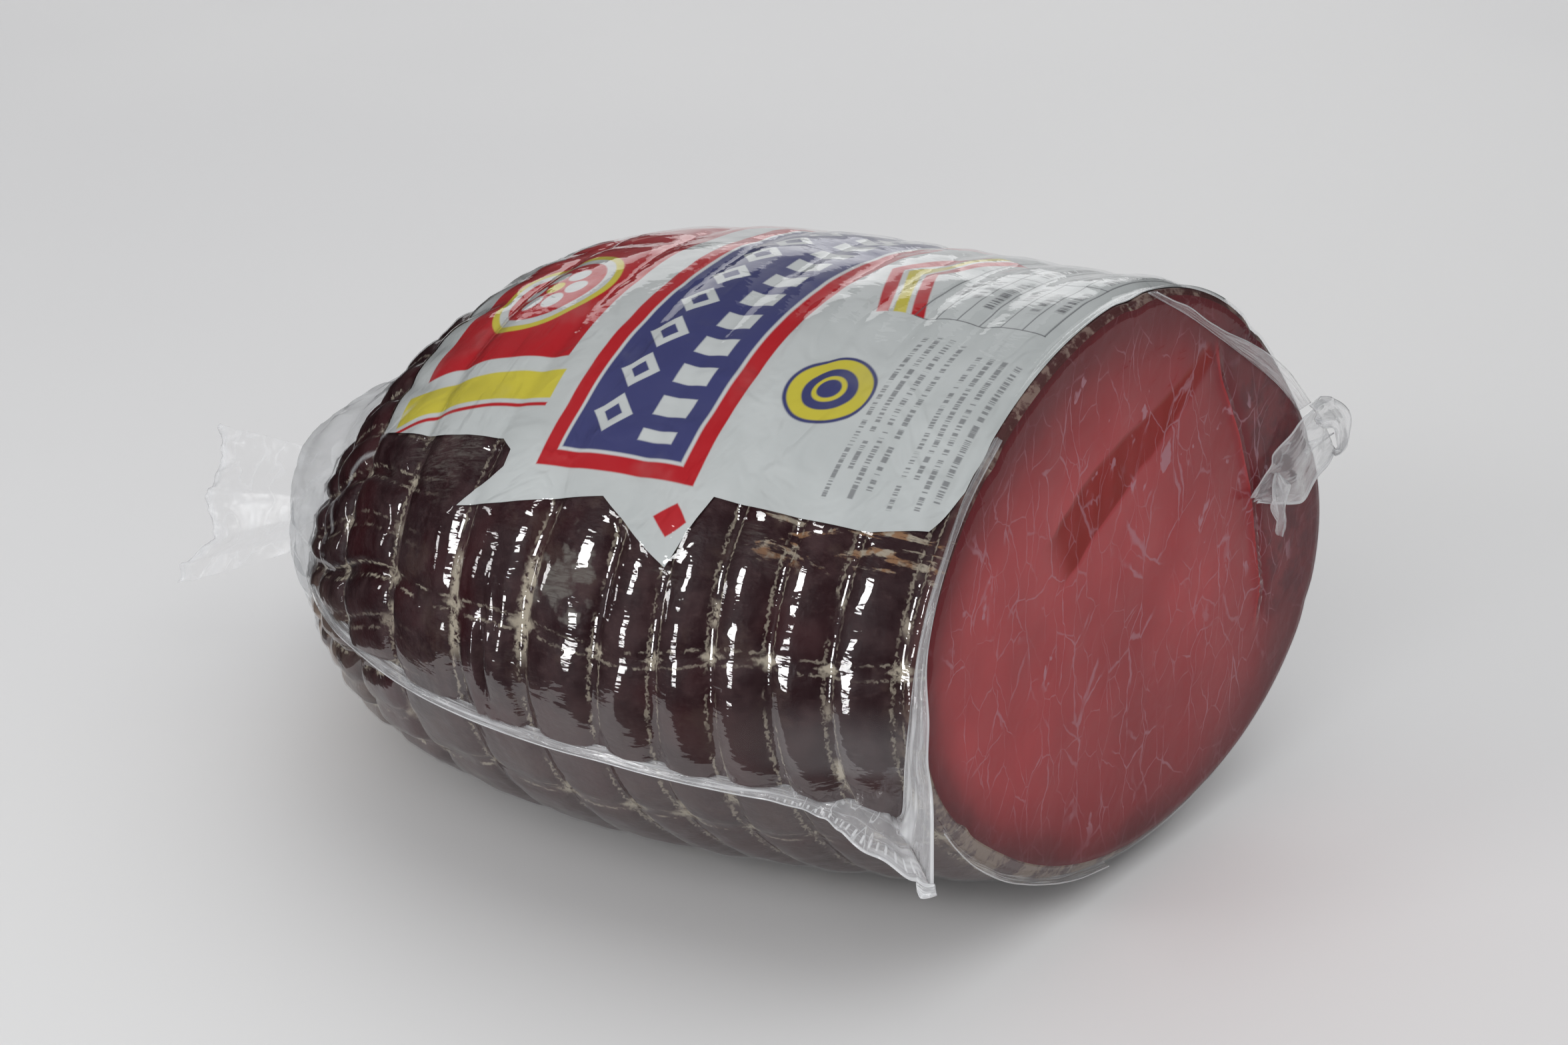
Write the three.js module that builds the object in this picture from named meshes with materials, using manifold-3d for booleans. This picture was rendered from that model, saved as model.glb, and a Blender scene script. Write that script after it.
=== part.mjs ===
import * as THREE from "three";
import { mergeVertices } from "three/addons/utils/BufferGeometryUtils.js";
import Module from "manifold-3d";

// Half of an air-dried beef round, cut across the grain, with a paper label laid over its top,
// sealed in a clear vacuum bag. It lies on its belly.
// Millimetres, +Z up. X = 0 is the cut face and the rounded end points along -X.
// An angle goes round the section: 0 is the far side (+Y), 90 the top, 180 the near side.

// Driving dimensions of the meat
const LENGTH = 198;
const FACE_HALF_WIDTH = 74.3;
const FACE_HALF_HEIGHT = 55;
const WIDTH_BULGE = 0.1;
const HEIGHT_BULGE = 0.078;
const WIDTH_TAPER = [2.42, 0.5];
const HEIGHT_TAPER = [4.18, 0.7];
const BELLY_SINK = 2;
const FACE_LIFT = 7;
const TIP_HEIGHT = 42;
const TIP_RISE_POWER = 13.8;
const NEAR_SIDE_BOW = 15;
const TIP_OFFSET = 12;
// Lean and flats of the section: [share of the radius, turns per circle, phase in degrees]
const SECTION_WAVES = [
  [-0.058, 2, 0],
  [-0.031, 3, 0],
  [0.009, 4, 135],
  [-0.01, 2, 90],
];

// Marks pressed into the rind by the net that held the meat while it dried
const RING_MARKS = [4, 16, 27, 38, 49, 60, 75, 93, 114, 137, 158, 176];
const RING_DEPTH = 1.5;
const CORD_MARK_START = 172;
const CORD_MARK_COUNT = 9;
const CORD_DEPTH = 1.3;
const MARK_HALF_WIDTH = 2.6;

// The paper label
const LABEL_GAP = 0.4;
const LABEL_THICKNESS = 0.4;
const LABEL_COLUMNS = 15;
const LABEL_MARKED = 0.5;
// Near edge: [distance from the cut face, angle], with the pointed flap near the middle
const LABEL_NEAR_EDGE = [
  [1.5, 139], [5, 146], [14, 147], [43, 145], [48, 157], [64, 148], [79, 151],
  [94, 154], [97, 144], [133, 142],
];
const LABEL_FAR_EDGE = [[1.5, 39], [6, 34], [43, 35], [56, 22], [69, 35], [128, 36], [133, 42]];

// The free film of the bag
const FILM_GAP = 0.3;
const FILM_THICKNESS = 1;
const SEAM_WIDTH = 4;
const NEAR_SEAM_HEIGHTS = [40, 44, 38];
const FAR_SEAM_HEIGHTS = [68, 55, 38];
const SEAM_END = 178;
const TAIL_CUFF_OFFSET = 5;

const RINGS_AROUND = 48;
const CAP_RINGS = 7;

const wasm = await Module();
wasm.setup();

const point = (x, y, z) => new THREE.Vector3(x, y, z);
const radians = THREE.MathUtils.degToRad;
const { lerp, smoothstep } = THREE.MathUtils;

// The value of a broken line through [position, value] pairs.
function brokenLine(pairs, at) {
  const next = pairs.findIndex(([position]) => position >= at);
  if (next === 0) return pairs[0][1];
  if (next < 0) return pairs.at(-1)[1];
  const [[from, low], [to, high]] = [pairs[next - 1], pairs[next]];
  return lerp(low, high, (at - from) / (to - from));
}

// Half axes and centre of the section at a share of the length from the cut face.
function section(share) {
  const swell = Math.sin(Math.PI * share);
  const taper = ([power, root]) => Math.max(1 - share ** power, 0) ** root;
  const halfWidth = FACE_HALF_WIDTH * (1 + WIDTH_BULGE * swell) * taper(WIDTH_TAPER);
  const halfHeight = FACE_HALF_HEIGHT * (1 + HEIGHT_BULGE * swell) * taper(HEIGHT_TAPER);
  const belly = TIP_HEIGHT * share ** TIP_RISE_POWER + FACE_LIFT * (1 - share) ** 4 - BELLY_SINK;
  const middle = TIP_OFFSET * share ** 2 - NEAR_SIDE_BOW * swell;
  return { halfWidth, halfHeight, middle, height: belly + halfHeight };
}

const bell = (distance) => Math.exp(-((distance / MARK_HALF_WIDTH) ** 2));

// Depth of the net's marks, which fade under the belly where the weight presses them flat.
function markDepth(share, angle) {
  const along = share * LENGTH;
  const rings = Math.max(...RING_MARKS.map((at) => bell(along - at)));
  const spacing = 360 / CORD_MARK_COUNT;
  const turn = THREE.MathUtils.euclideanModulo(angle - CORD_MARK_START + spacing / 2, spacing);
  const { halfWidth } = section(share);
  const cords = bell(radians(turn - spacing / 2) * halfWidth) * smoothstep(share, 0.45, 0.7);
  const end = 1 - smoothstep(share, 0.93, 1);
  const lying = smoothstep(Math.sin(radians(angle)), -0.97, -0.8);
  return Math.max(RING_DEPTH * rings, CORD_DEPTH * cords) * end * lying;
}

// A point of the rind, moved out by grow. The belly is pressed flat on the surface it lies on.
// What lies over the rind takes only a part of the marks' depth.
function skin(share, angle, grow = 0, marked = 1) {
  const { halfWidth, halfHeight, middle, height } = section(share);
  const turn = radians(angle);
  const wave = SECTION_WAVES.reduce(
    (sum, [size, turns, phase]) => sum + size * Math.sin(turns * turn + radians(phase)), 0);
  const stretch = 1 + wave * (1 - share);
  const out = grow - marked * markDepth(share, angle);
  const y = middle + (halfWidth * stretch + out) * Math.cos(turn);
  const z = height + (halfHeight * stretch + out) * Math.sin(turn);
  return point(-share * LENGTH, y, Math.max(z, -grow));
}

// The rind at a height, on the near side (-1) or the far side (1).
function skinAtHeight(share, height, side, grow = 0) {
  let [low, high] = side < 0 ? [270, 90] : [-90, 90];
  for (let step = 0; step < 20; step += 1) {
    const middle = (low + high) / 2;
    if (skin(share, middle).z < height) low = middle;
    else high = middle;
  }
  return skin(share, (low + high) / 2, grow);
}

// A closed tube through rings of points, each end shut by a fan from its centre.
function tube(rings) {
  const count = rings[0].length;
  const centres = [rings[0], rings.at(-1)].map((ring) =>
    ring.reduce((sum, p) => sum.add(p), point(0, 0, 0)).divideScalar(count));
  const positions = [...rings.flat(), ...centres].flatMap((p) => p.toArray());
  const index = [];
  const [firstCentre, lastCentre] = [rings.length * count, rings.length * count + 1];
  for (let i = 0; i < count; i += 1) {
    const next = (i + 1) % count;
    for (let ring = 0; ring + 1 < rings.length; ring += 1) {
      const [a, b] = [ring * count, (ring + 1) * count];
      index.push(a + i, a + next, b + i, a + next, b + next, b + i);
    }
    const last = (rings.length - 1) * count;
    index.push(firstCentre, next, i, lastCentre, last + i, last + next);
  }
  return indexed(positions, index);
}

// A thin closed sheet between two grids of points, front and back.
function sheet(front, back) {
  const [rows, columns] = [front.length, front[0].length];
  const positions = [...front.flat(), ...back.flat()].flatMap((p) => p.toArray());
  const under = rows * columns;
  const at = (row, column) => row * columns + column;
  const index = [];
  const quad = (a, b, c, d) => index.push(a, b, c, a, c, d);
  for (let row = 0; row + 1 < rows; row += 1) {
    for (let column = 0; column + 1 < columns; column += 1) {
      const [a, b] = [at(row, column), at(row + 1, column)];
      const corners = [a, a + 1, b + 1, b];
      quad(...corners);
      quad(...corners.reverse().map((corner) => corner + under));
    }
    const first = [at(row, 0), at(row + 1, 0)];
    const last = [at(row + 1, columns - 1), at(row, columns - 1)];
    for (const [a, b] of [first, last]) quad(a, b, b + under, a + under);
  }
  for (let column = 0; column + 1 < columns; column += 1) {
    const first = [at(0, column + 1), at(0, column)];
    const last = [at(rows - 1, column), at(rows - 1, column + 1)];
    for (const [a, b] of [first, last]) quad(a, b, b + under, a + under);
  }
  return indexed(positions, index);
}

// A strip of film between an inner and an outer edge, given as pairs of points.
function strip(pairs) {
  const [front, back] = [[], []];
  pairs.forEach(([inner, outer], i) => {
    const before = pairs[Math.max(i - 1, 0)][1];
    const after = pairs[Math.min(i + 1, pairs.length - 1)][1];
    const across = outer.clone().sub(inner);
    const half = after.clone().sub(before).cross(across).setLength(FILM_THICKNESS / 2);
    front.push([inner.clone().add(half), outer.clone().add(half)]);
    back.push([inner.clone().sub(half), outer.clone().sub(half)]);
  });
  return sheet(front, back);
}

function indexed(positions, index) {
  const geometry = new THREE.BufferGeometry();
  geometry.setAttribute("position", new THREE.Float32BufferAttribute(positions, 3));
  geometry.setIndex(index);
  return geometry;
}

// A closed geometry as a solid, turned right side out where it was wound the other way.
function solid(geometry) {
  const bare = geometry.clone();
  bare.deleteAttribute("normal");
  bare.deleteAttribute("uv");
  const merged = mergeVertices(bare, 1e-4);
  const triVerts = new Uint32Array(merged.index.array);
  const vertProperties = merged.attributes.position.array;
  const build = () => new wasm.Manifold(new wasm.Mesh({ numProp: 3, vertProperties, triVerts }));
  const made = build();
  if (made.volume() > 0) return made;
  triVerts.reverse();
  return build();
}

function geometryOf(manifold) {
  const { vertProperties, triVerts } = manifold.getMesh();
  return indexed(vertProperties, [...triVerts]);
}

// Shares of the length where the rind is drawn: both sides of each ring mark, its floor and
// the crown between two marks, then closer and closer rings round the end.
function stations() {
  const marks = RING_MARKS.flatMap((at, i) => {
    const crown = i + 1 < RING_MARKS.length ? (at + RING_MARKS[i + 1]) / 2 : at + 7;
    return [at - MARK_HALF_WIDTH, at, at + MARK_HALF_WIDTH, crown];
  });
  const last = marks.at(-1) / LENGTH;
  const closer = (i) => 1 - (1 - (i + 1) / (CAP_RINGS + 0.6)) ** 2;
  const cap = Array.from({ length: CAP_RINGS }, (_, i) => lerp(last, 1, closer(i)));
  return [0, ...marks.map((at) => at / LENGTH), ...cap];
}

const ANGLES = Array.from({ length: RINGS_AROUND }, (_, i) => (360 / RINGS_AROUND) * i);

// The meat, moved out by grow all round, the cut face too.
function meat(grow = 0) {
  const rings = stations().map((share) => ANGLES.map((angle) => skin(share, angle, grow)));
  const face = rings[0].map((p) => p.clone().setX(grow));
  const tip = rings.at(-1).map((p) => p.clone().setX(-LENGTH - grow));
  return tube([face, ...rings.slice(1), ...(grow ? [tip] : [])]);
}

function label() {
  const [start, end] = [LABEL_NEAR_EDGE[0][0], LABEL_NEAR_EDGE.at(-1)[0]];
  const inside = stations().map((share) => share * LENGTH).filter((x) => x > start && x < end);
  const rows = [start, ...inside, end];
  const grid = (grow) => rows.map((x) => {
    const [near, far] = [brokenLine(LABEL_NEAR_EDGE, x), brokenLine(LABEL_FAR_EDGE, x)];
    return Array.from({ length: LABEL_COLUMNS + 1 }, (_, i) =>
      skin(x / LENGTH, lerp(far, near, i / LABEL_COLUMNS), grow, LABEL_MARKED));
  });
  return sheet(grid(LABEL_GAP + LABEL_THICKNESS), grid(LABEL_GAP));
}

// Height of a seam at a share of the length: at the face, in the middle and at the tail.
function seamHeight([face, middle, tail], share) {
  return brokenLine([[0, face], [0.3, middle], [0.65, middle], [1, tail]], share);
}

// A welded edge of the bag along one side, standing off the rind.
function seam(heights, side, from) {
  const steps = 14;
  const pairs = [];
  for (let i = 0; i <= steps; i += 1) {
    const share = lerp(from, SEAM_END, i / steps) / LENGTH;
    const height = seamHeight(heights, share);
    pairs.push([skinAtHeight(share, height, side, -2), skinAtHeight(share, height, side, SEAM_WIDTH)]);
  }
  return pairs;
}

// The corner of the bag at the bottom of the cut face is a pointed ear, whose two edges fold
// along a line from an apex on the rind to the tip.
const EAR_TIP = point(9, -86, 34);
const earApex = () => skinAtHeight(0.045, 38, -1, -2);

// The near seam spreads into the ear, and the film goes on from the ear as a web that bridges
// the rim of the cut face.
function nearEdge() {
  const web = [88, 80, 71, 62, 53, 46].map((height, i) => {
    const rim = skinAtHeight(0, height, -1, 1 + 0.3 * i).setX(0.8 + 0.6 * i);
    return [skinAtHeight(0.007 * i, height - i, -1, -2), rim];
  });
  const spread = [0.09, 0.15].map((share, i) => {
    const outer = skinAtHeight(share, 38 + 3 * i, -1, 10 - 4 * i);
    return [skinAtHeight(share, 40 + i, -1, -2), outer];
  });
  return strip([...web, [earApex(), EAR_TIP], ...spread, ...seam(NEAR_SEAM_HEIGHTS, -1, 42)]);
}

// The low edge of film along the bottom of the cut face.
function lip() {
  const [start, end] = [204, 264];
  const pairs = [[skin(0, start - 4, -2).setX(0.9), earApex().lerp(EAR_TIP, 0.6)]];
  for (let angle = start; angle <= end; angle += 6) {
    const reach = lerp(4.5, 1.4, (angle - start) / (end - start));
    pairs.push([skin(0, angle, -2).setX(0.9), skin(0, angle, reach).setX(0.9)]);
  }
  return strip(pairs);
}

// The film's edge across the top of the cut face, down to the folded corner on the far side.
function ridge() {
  const path = [[1, 118], [15, 111], [26, 104], [35, 100], [52, 89], [64, 76]];
  return strip(path.map(([y, z], i) => [point(-0.5, y, z), point(1.6 + 0.4 * i, y + 1, z + 1)]));
}

// The far corner of the bag, folded over the rim onto the cut face.
function foldedCorner() {
  const outline = [
    [60, 78], [68, 80], [78, 75], [80, 68], [70, 63], [63, 58], [52, 62], [41, 66], [48, 70], [53, 72],
  ];
  const shape = new THREE.Shape(outline.map(([y, z]) => new THREE.Vector2(y, z)));
  const plate = new THREE.ExtrudeGeometry(shape, { depth: FILM_THICKNESS, bevelEnabled: false });
  const axes = new THREE.Matrix4().makeBasis(point(0, 1, 0), point(0, 0, 1), point(1, 0, 0));
  return plate.applyMatrix4(axes).translate(0.8, 0, 0);
}

function farSeam() {
  const corner = [point(1.4, 68, 68), point(1.4, 79, 69)];
  return strip([corner, ...seam(FAR_SEAM_HEIGHTS, 1, 4)]);
}

// The film round the rounded end, which stands off the meat towards the tail.
function tailCuff() {
  const start = (angle) => 0.77 - 0.07 * Math.sin(radians(angle));
  const rings = Array.from({ length: 9 }, (_, i) => ANGLES.map((angle) => {
    const share = lerp(start(angle), 0.985, 1 - (1 - i / 8) ** 1.6);
    const off = lerp(1, TAIL_CUFF_OFFSET, smoothstep(share, start(angle), 0.9));
    const stretch = 1 + 0.03 * smoothstep(share, 0.85, 0.985);
    const p = skin(share, angle, off);
    return p.setX(p.x * stretch).setZ(Math.max(p.z, 0.4));
  }));
  return tube(rings);
}

// The gathered end of the bag behind the tail: a pleated fan.
function tailFan() {
  const [rows, columns] = [7, 20];
  const [root, end] = [point(-197, 6, 36), point(-238, -8, 27)];
  const across = point(0, Math.cos(radians(50)), Math.sin(radians(50)));
  const rise = point(0, -across.z, across.y);
  const grid = (side) => Array.from({ length: rows + 1 }, (_, row) => {
    const along = row / rows;
    const half = lerp(9, 23, along ** 0.7);
    return Array.from({ length: columns + 1 }, (_, column) => {
      const place = (column / columns) * 2 - 1;
      const pleat = 2.6 * along * Math.sin(place * 11) + side * FILM_THICKNESS / 2;
      const ragged = 4 * along * Math.sin(place * 7 + 1);
      return root.clone().lerp(end, along).addScaledVector(across, half * place)
        .addScaledVector(rise, pleat).add(point(-ragged, 0, 0));
    });
  });
  return sheet(grid(1), grid(-1));
}

// All the free film as one solid, cut back from the meat by the film's gap.
function bag() {
  const pieces = [nearEdge(), lip(), ridge(), foldedCorner(), farSeam(), tailCuff(), tailFan()];
  const joined = pieces.map(solid).reduce((sum, piece) => sum.add(piece));
  const clear = joined.subtract(solid(meat(FILM_GAP)));
  const bodies = clear.decompose().sort((a, b) => b.volume() - a.volume());
  return geometryOf(bodies[0]);
}

function mesh(name, geometry, color, roughness) {
  const made = new THREE.Mesh(geometry, new THREE.MeshStandardMaterial({ color, roughness, metalness: 0 }));
  made.name = name;
  return made;
}

const pack = new THREE.Group();
pack.add(
  mesh("cured_meat", geometryOf(solid(meat())), 0x3a1f22, 0.25),
  mesh("paper_label", geometryOf(solid(label())), 0xd9dcd8, 0.5),
  mesh("vacuum_bag", bag(), 0xe4e6e8, 0.15),
);

// The origin is below the middle of the whole, on the surface it lies on.
const middle = new THREE.Box3().setFromObject(pack).getCenter(point(0, 0, 0));
pack.position.set(-middle.x, -middle.y, 0);

export default pack;
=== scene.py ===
import math
from functools import partialmethod, reduce
from itertools import product

import bmesh
import bpy
import numpy as np
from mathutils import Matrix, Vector


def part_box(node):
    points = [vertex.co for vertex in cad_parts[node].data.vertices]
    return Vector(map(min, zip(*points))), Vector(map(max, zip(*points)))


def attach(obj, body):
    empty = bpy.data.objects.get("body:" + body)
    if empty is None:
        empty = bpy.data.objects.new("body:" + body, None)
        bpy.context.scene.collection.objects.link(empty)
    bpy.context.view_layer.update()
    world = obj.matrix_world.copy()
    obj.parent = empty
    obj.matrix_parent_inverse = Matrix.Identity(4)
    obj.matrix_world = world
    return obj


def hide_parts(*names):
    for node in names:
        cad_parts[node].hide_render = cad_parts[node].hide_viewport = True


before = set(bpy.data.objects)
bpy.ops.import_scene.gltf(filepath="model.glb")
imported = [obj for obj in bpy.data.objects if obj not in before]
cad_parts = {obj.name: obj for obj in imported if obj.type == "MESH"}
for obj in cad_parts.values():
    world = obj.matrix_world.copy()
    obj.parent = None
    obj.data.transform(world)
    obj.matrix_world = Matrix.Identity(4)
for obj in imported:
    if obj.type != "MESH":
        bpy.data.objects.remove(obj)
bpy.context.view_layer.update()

# Half of an air-dried beef round under a paper label, tight in a clear vacuum bag.
# Shapes are worked out in millimetres in the drawing frame of the CAD part: x = 0 is the cut face
# and the rounded end points along -x, y is across, z is up. "Along" is the distance from the cut
# face. An angle goes round the section: 0 is the far side, 90 the top, 180 the near side.
MM = 0.001

# The body, as in the CAD part
LENGTH = 198.0
FACE_HALF_WIDTH, FACE_HALF_HEIGHT = 74.3, 55.0
FACE_REACH = 60     # from the rim to the middle, roughly
WIDTH_BULGE, HEIGHT_BULGE = 0.1, 0.078
WIDTH_TAPER, HEIGHT_TAPER = (2.42, 0.5), (4.18, 0.7)
BELLY_SINK = 2.0
FACE_LIFT = 7.0
TIP_HEIGHT = 42.0
TIP_RISE_POWER = 13.8
NEAR_SIDE_BOW = 15.0
TIP_OFFSET = 12.0
SECTION_WAVES = [(-0.058, 2, 0), (-0.031, 3, 0), (0.009, 4, 135), (-0.01, 2, 90)]
LOWEST = 0.03       # over the floor
# The cut face's rim is rounded, more so at the low near corner
RIM_RADIUS, CORNER_RADIUS = 1.5, 2.4
CORNER_ANGLE, CORNER_SPREAD = 226, 24

# Marks of the net's rings, with one more past each end
RING_MARKS = np.array([4, 16, 27, 38, 49, 60, 75, 93, 114, 137, 158, 176, 190], float)
NET_MARKS = np.array([-8, *RING_MARKS, 204])
RING_DEPTH, RING_WIDTH = 1.3, 1.5
# Marks of its lengthwise cords, in degrees: the long ones run the whole length, and the short
# ones gather round the rounded end, where every second one is weaker
CORD_STEP, LONG_CORD_STEP = 10.0, 40.0
LONG_CORD_START = 12.0
CORD_DEPTH, CORD_WIDTH = 1.1, 3.0
WEAK_CORD = 0.4

# The label's outline, as (along, angle)
LABEL_NEAR_EDGE = [
    (1.5, 139), (5, 146), (14, 147.3), (30, 146), (43, 145), (48, 157.5), (64, 148), (72, 149.5),
    (86, 152.5), (97, 154.5), (94, 151), (91, 149), (88.5, 146.5), (88.5, 143.5), (92, 141.8),
    (102, 142.2), (112, 143), (124, 142.5), (133, 142),
]
LABEL_FAR_EDGE = [(133, 60), (128, 36), (69, 35), (56, 22), (43, 35), (6, 34), (1.5, 39)]
LABEL_OUTLINE = [*LABEL_NEAR_EDGE, (134.5, 118), (135, 96), *LABEL_FAR_EDGE]
MM_PER_DEGREE = 1.25
# Middles of its round prints, in millimetres along and round
MEDALLION, STAMP = (107, 26), (33.5, 47)
# How far the label lies off the meat, and the shares of the grooves it follows and bridges
LABEL_GROW, LABEL_GROOVES, LABEL_BRIDGED = 0.35, 0.38, 0.55

# The bag's tight film: how far it lies off the meat, its share of the grooves, and how much wider
# it draws them
FILM_GROW, FILM_GROOVES, FILM_WIDENS = 0.35, 0.72, 1.3
FILM_OVER_LABEL = 0.1
# Its creases on the rounded part, as (along, angle)
TAIL_CREASES = [
    [(123, 136), (131, 142.5), (137.6, 144.5), (145.6, 149), (149, 156), (146, 163)],
    [(168, 128), (176, 140), (182, 152), (186, 166)],
]
# The fold on the cut face and the wet band across it, as (across, up)
CREASE = [(27.2, 103), (30.1, 93.2), (37.6, 80.2), (43.1, 67.6), (46.2, 57.1), (49.6, 44.6),
          (48.4, 34.7)]
WET_BAND = [(26, 101), (12.6, 94), (3.8, 90), (-7.1, 86.6), (-18, 82), (-32, 73)]

# The bag's free film
SHEET = 0.25
NEAR_SEAM_HEIGHTS, FAR_SEAM_HEIGHTS = (40, 44, 38), (68, 55, 38)
SEAM_END = 178.0
SEAM_DROOP = 1.5
EAR_TIP = (8.8, -82.5, 33.5)
# Sheets of the folded corner: pairs of points (across, up) on the cut face, and how far off it
CORNER_SHEETS = [
    ([((40.7, 66.6), (41.5, 65.6)), ((47, 70.5), (50, 62.5)), ((54, 74), (61.4, 59.7)),
      ((60.6, 77.6), (68, 63)), ((67, 78.6), (74.6, 66.6))], 2.0, 1.2),
    ([((61.4, 79.9), (64.2, 75.2)), ((67, 80.2), (66.5, 74)), ((74, 77.6), (70, 73)),
      ((78.2, 73.2), (72, 70.5)), ((78.4, 68), (73, 67)), ((73.2, 66), (71, 67.2))], 3.2, 1.6),
    ([((48, 69.7), (48.5, 69.5)), ((45.6, 64.9), (52.3, 65.9)), ((47.6, 60.5), (52, 61.5)),
      ((50.2, 55.7), (50.8, 55.7))], 3.4, 0.4),
]

# Mesh steps
NEAR_STEP, FAR_STEP = ((0.6, 2.0))
ALONG_STEP = 0.8
CLOSER_FROM, END_STEPS = 176.0, 34
FACE_ROWS = 130
LABEL_STEP = 1.0
FAN_STEPS = ((44, 150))

# Colours, linear
RIND_DARK, RIND_LIGHT = (0.027, 0.0088, 0.0112), (0.057, 0.027, 0.029)
RIND_FLECKS = (0.09, 0.05, 0.05)
RIND_WINE = (0.055, 0.008, 0.011)
RIND_BROWN = (0.078, 0.046, 0.038)
RIND_BELOW = (0.078, 0.042, 0.040)
TAIL_BELOW, TAIL_BEIGE = (0.125, 0.086, 0.072), (0.38, 0.29, 0.23)
RIM_RED, RIM_SKIN = (0.12, 0.045, 0.042), (0.30, 0.22, 0.18)
CORNER_SKIN = (0.30, 0.23, 0.17)
RESIDUE = (0.42, 0.37, 0.29)
MOULD_GREY = (0.15, 0.135, 0.12)
STREAK_BROWN = (0.30, 0.16, 0.08)
MEAT_RED, MEAT_DEEP = (0.46, 0.060, 0.066), (0.33, 0.036, 0.041)
MEAT_FIBRES = (0.37, 0.050, 0.056)
MEAT_OUTER, MEAT_LOW_SHADE = (0.17, 0.018, 0.022), (0.21, 0.020, 0.025)
MEAT_RIM, MEAT_OUTLINE = (0.10, 0.015, 0.019), (0.06, 0.014, 0.016)
MEAT_WET = (0.25, 0.020, 0.015)
FOLD_SHADE, FOLD_RED, PAST_FOLD_SHADE = (0.10, 0.014, 0.02), (0.44, 0.030, 0.034), (0.085, 0.012, 0.018)
FAT_LILAC = (0.45, 0.25, 0.30)
PAPER, PAPER_DULL, PAPER_DAMP = (0.51, 0.53, 0.525), (0.46, 0.48, 0.475), (0.33, 0.33, 0.32)
PRINT_RED, PRINT_PINK = (0.42, 0.012, 0.018), (0.60, 0.20, 0.19)
PRINT_BLUE = (0.048, 0.052, 0.155)
PRINT_YELLOW = (0.53, 0.46, 0.05)
PRINT_GREY = (0.10, 0.10, 0.11)
FILM_TINT = (0.97, 0.975, 0.98)
TIGHT_MILK, FREE_MILK = (0.75, 0.76, 0.78), (0.80, 0.81, 0.83)
FLOOR_LIGHT, FLOOR_DARK = (0.81, 0.81, 0.81), (0.78, 0.78, 0.785)
ROOM = (0.40, 0.40, 0.405, 1)


# Shapes of the body
def smooth(value, low, high):
    t = np.clip((value - low) / (high - low), 0, 1)
    return t * t * (3 - 2 * t)


def lattice(i, j, k, seed):
    """A repeatable value from -1 to 1 for each cell corner."""
    h = (i * 374761393 + j * 668265263 + k * 1442695041 + seed * 97571) & 0xFFFFFFFF
    h = ((h ^ (h >> 13)) * 1274126177) & 0xFFFFFFFF
    return ((h ^ (h >> 16)) & 0xFFFF) / 32767.5 - 1


def noise(points, size, seed=0):
    """Smooth noise from -1 to 1 at points; size is one number or one for each axis."""
    p = np.asarray(points, float) / np.asarray(size, float)
    cell = np.floor(p).astype(np.int64)
    f = p - cell
    f = f * f * (3 - 2 * f)
    total = 0
    for corner in product((0, 1), repeat=3):
        weight = np.prod(np.where(corner, f, 1 - f), axis=-1)
        total = total + weight * lattice(*np.moveaxis(cell + corner, -1, 0), seed)
    return total


def noise_at(x, y, size, seed):
    """Noise over two measures, such as places along and across a sheet of film."""
    return noise(np.stack([x, y, 0 * x], -1), size, seed)


def section(share):
    """Half width, half height, sideways place and height of the section's middle."""
    swell = np.sin(np.pi * share)

    def taper(law):
        return np.clip(1 - share ** law[0], 0, 1) ** law[1]

    half_width = FACE_HALF_WIDTH * (1 + WIDTH_BULGE * swell) * taper(WIDTH_TAPER)
    half_height = FACE_HALF_HEIGHT * (1 + HEIGHT_BULGE * swell) * taper(HEIGHT_TAPER)
    belly = TIP_HEIGHT * share ** TIP_RISE_POWER + FACE_LIFT * (1 - share) ** 4 - BELLY_SINK
    middle = TIP_OFFSET * share ** 2 - NEAR_SIDE_BOW * swell
    return half_width, half_height, middle, belly + half_height


def net_row(along, angle):
    """Which ring mark a place is at: whole numbers on the marks. Also the marks' spacing there."""
    turn = np.radians(angle)
    wobble = 0.9 * np.sin(2 * turn + along / 21) + 0.5 * np.sin(5 * turn + along / 9)
    at = along + wobble * smooth(along, 0, 12) * smooth(LENGTH - along, 0, 12)
    rows = np.interp(at, NET_MARKS, np.arange(len(NET_MARKS)) - 1)
    nearest = np.round(rows)
    index = np.clip(nearest.astype(int) + 1, 1, len(RING_MARKS))
    steps = np.diff(NET_MARKS)
    return rows, np.clip(np.where(rows > nearest, steps[index], steps[index - 1]), 5, 25)


def net_column(along, angle):
    """Which cord mark a place is at: whole numbers on the marks. Also how strong the mark is."""
    wobble = 1.6 * np.sin(along / 17 + angle / 23) + 0.9 * np.sin(along / 7 + angle / 11)
    column = (angle + wobble - LONG_CORD_START) / CORD_STEP
    nearest = np.round(column)
    share = along / LENGTH
    weaker = np.where(np.mod(nearest, 2) == 0, 1.0, WEAK_CORD)
    strength = np.where(np.mod(nearest, LONG_CORD_STEP / CORD_STEP) == 0,
                        0.6 + 0.4 * smooth(share, 0.4, 0.65), weaker * smooth(share, 0.5, 0.64))
    return column, strength


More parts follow.
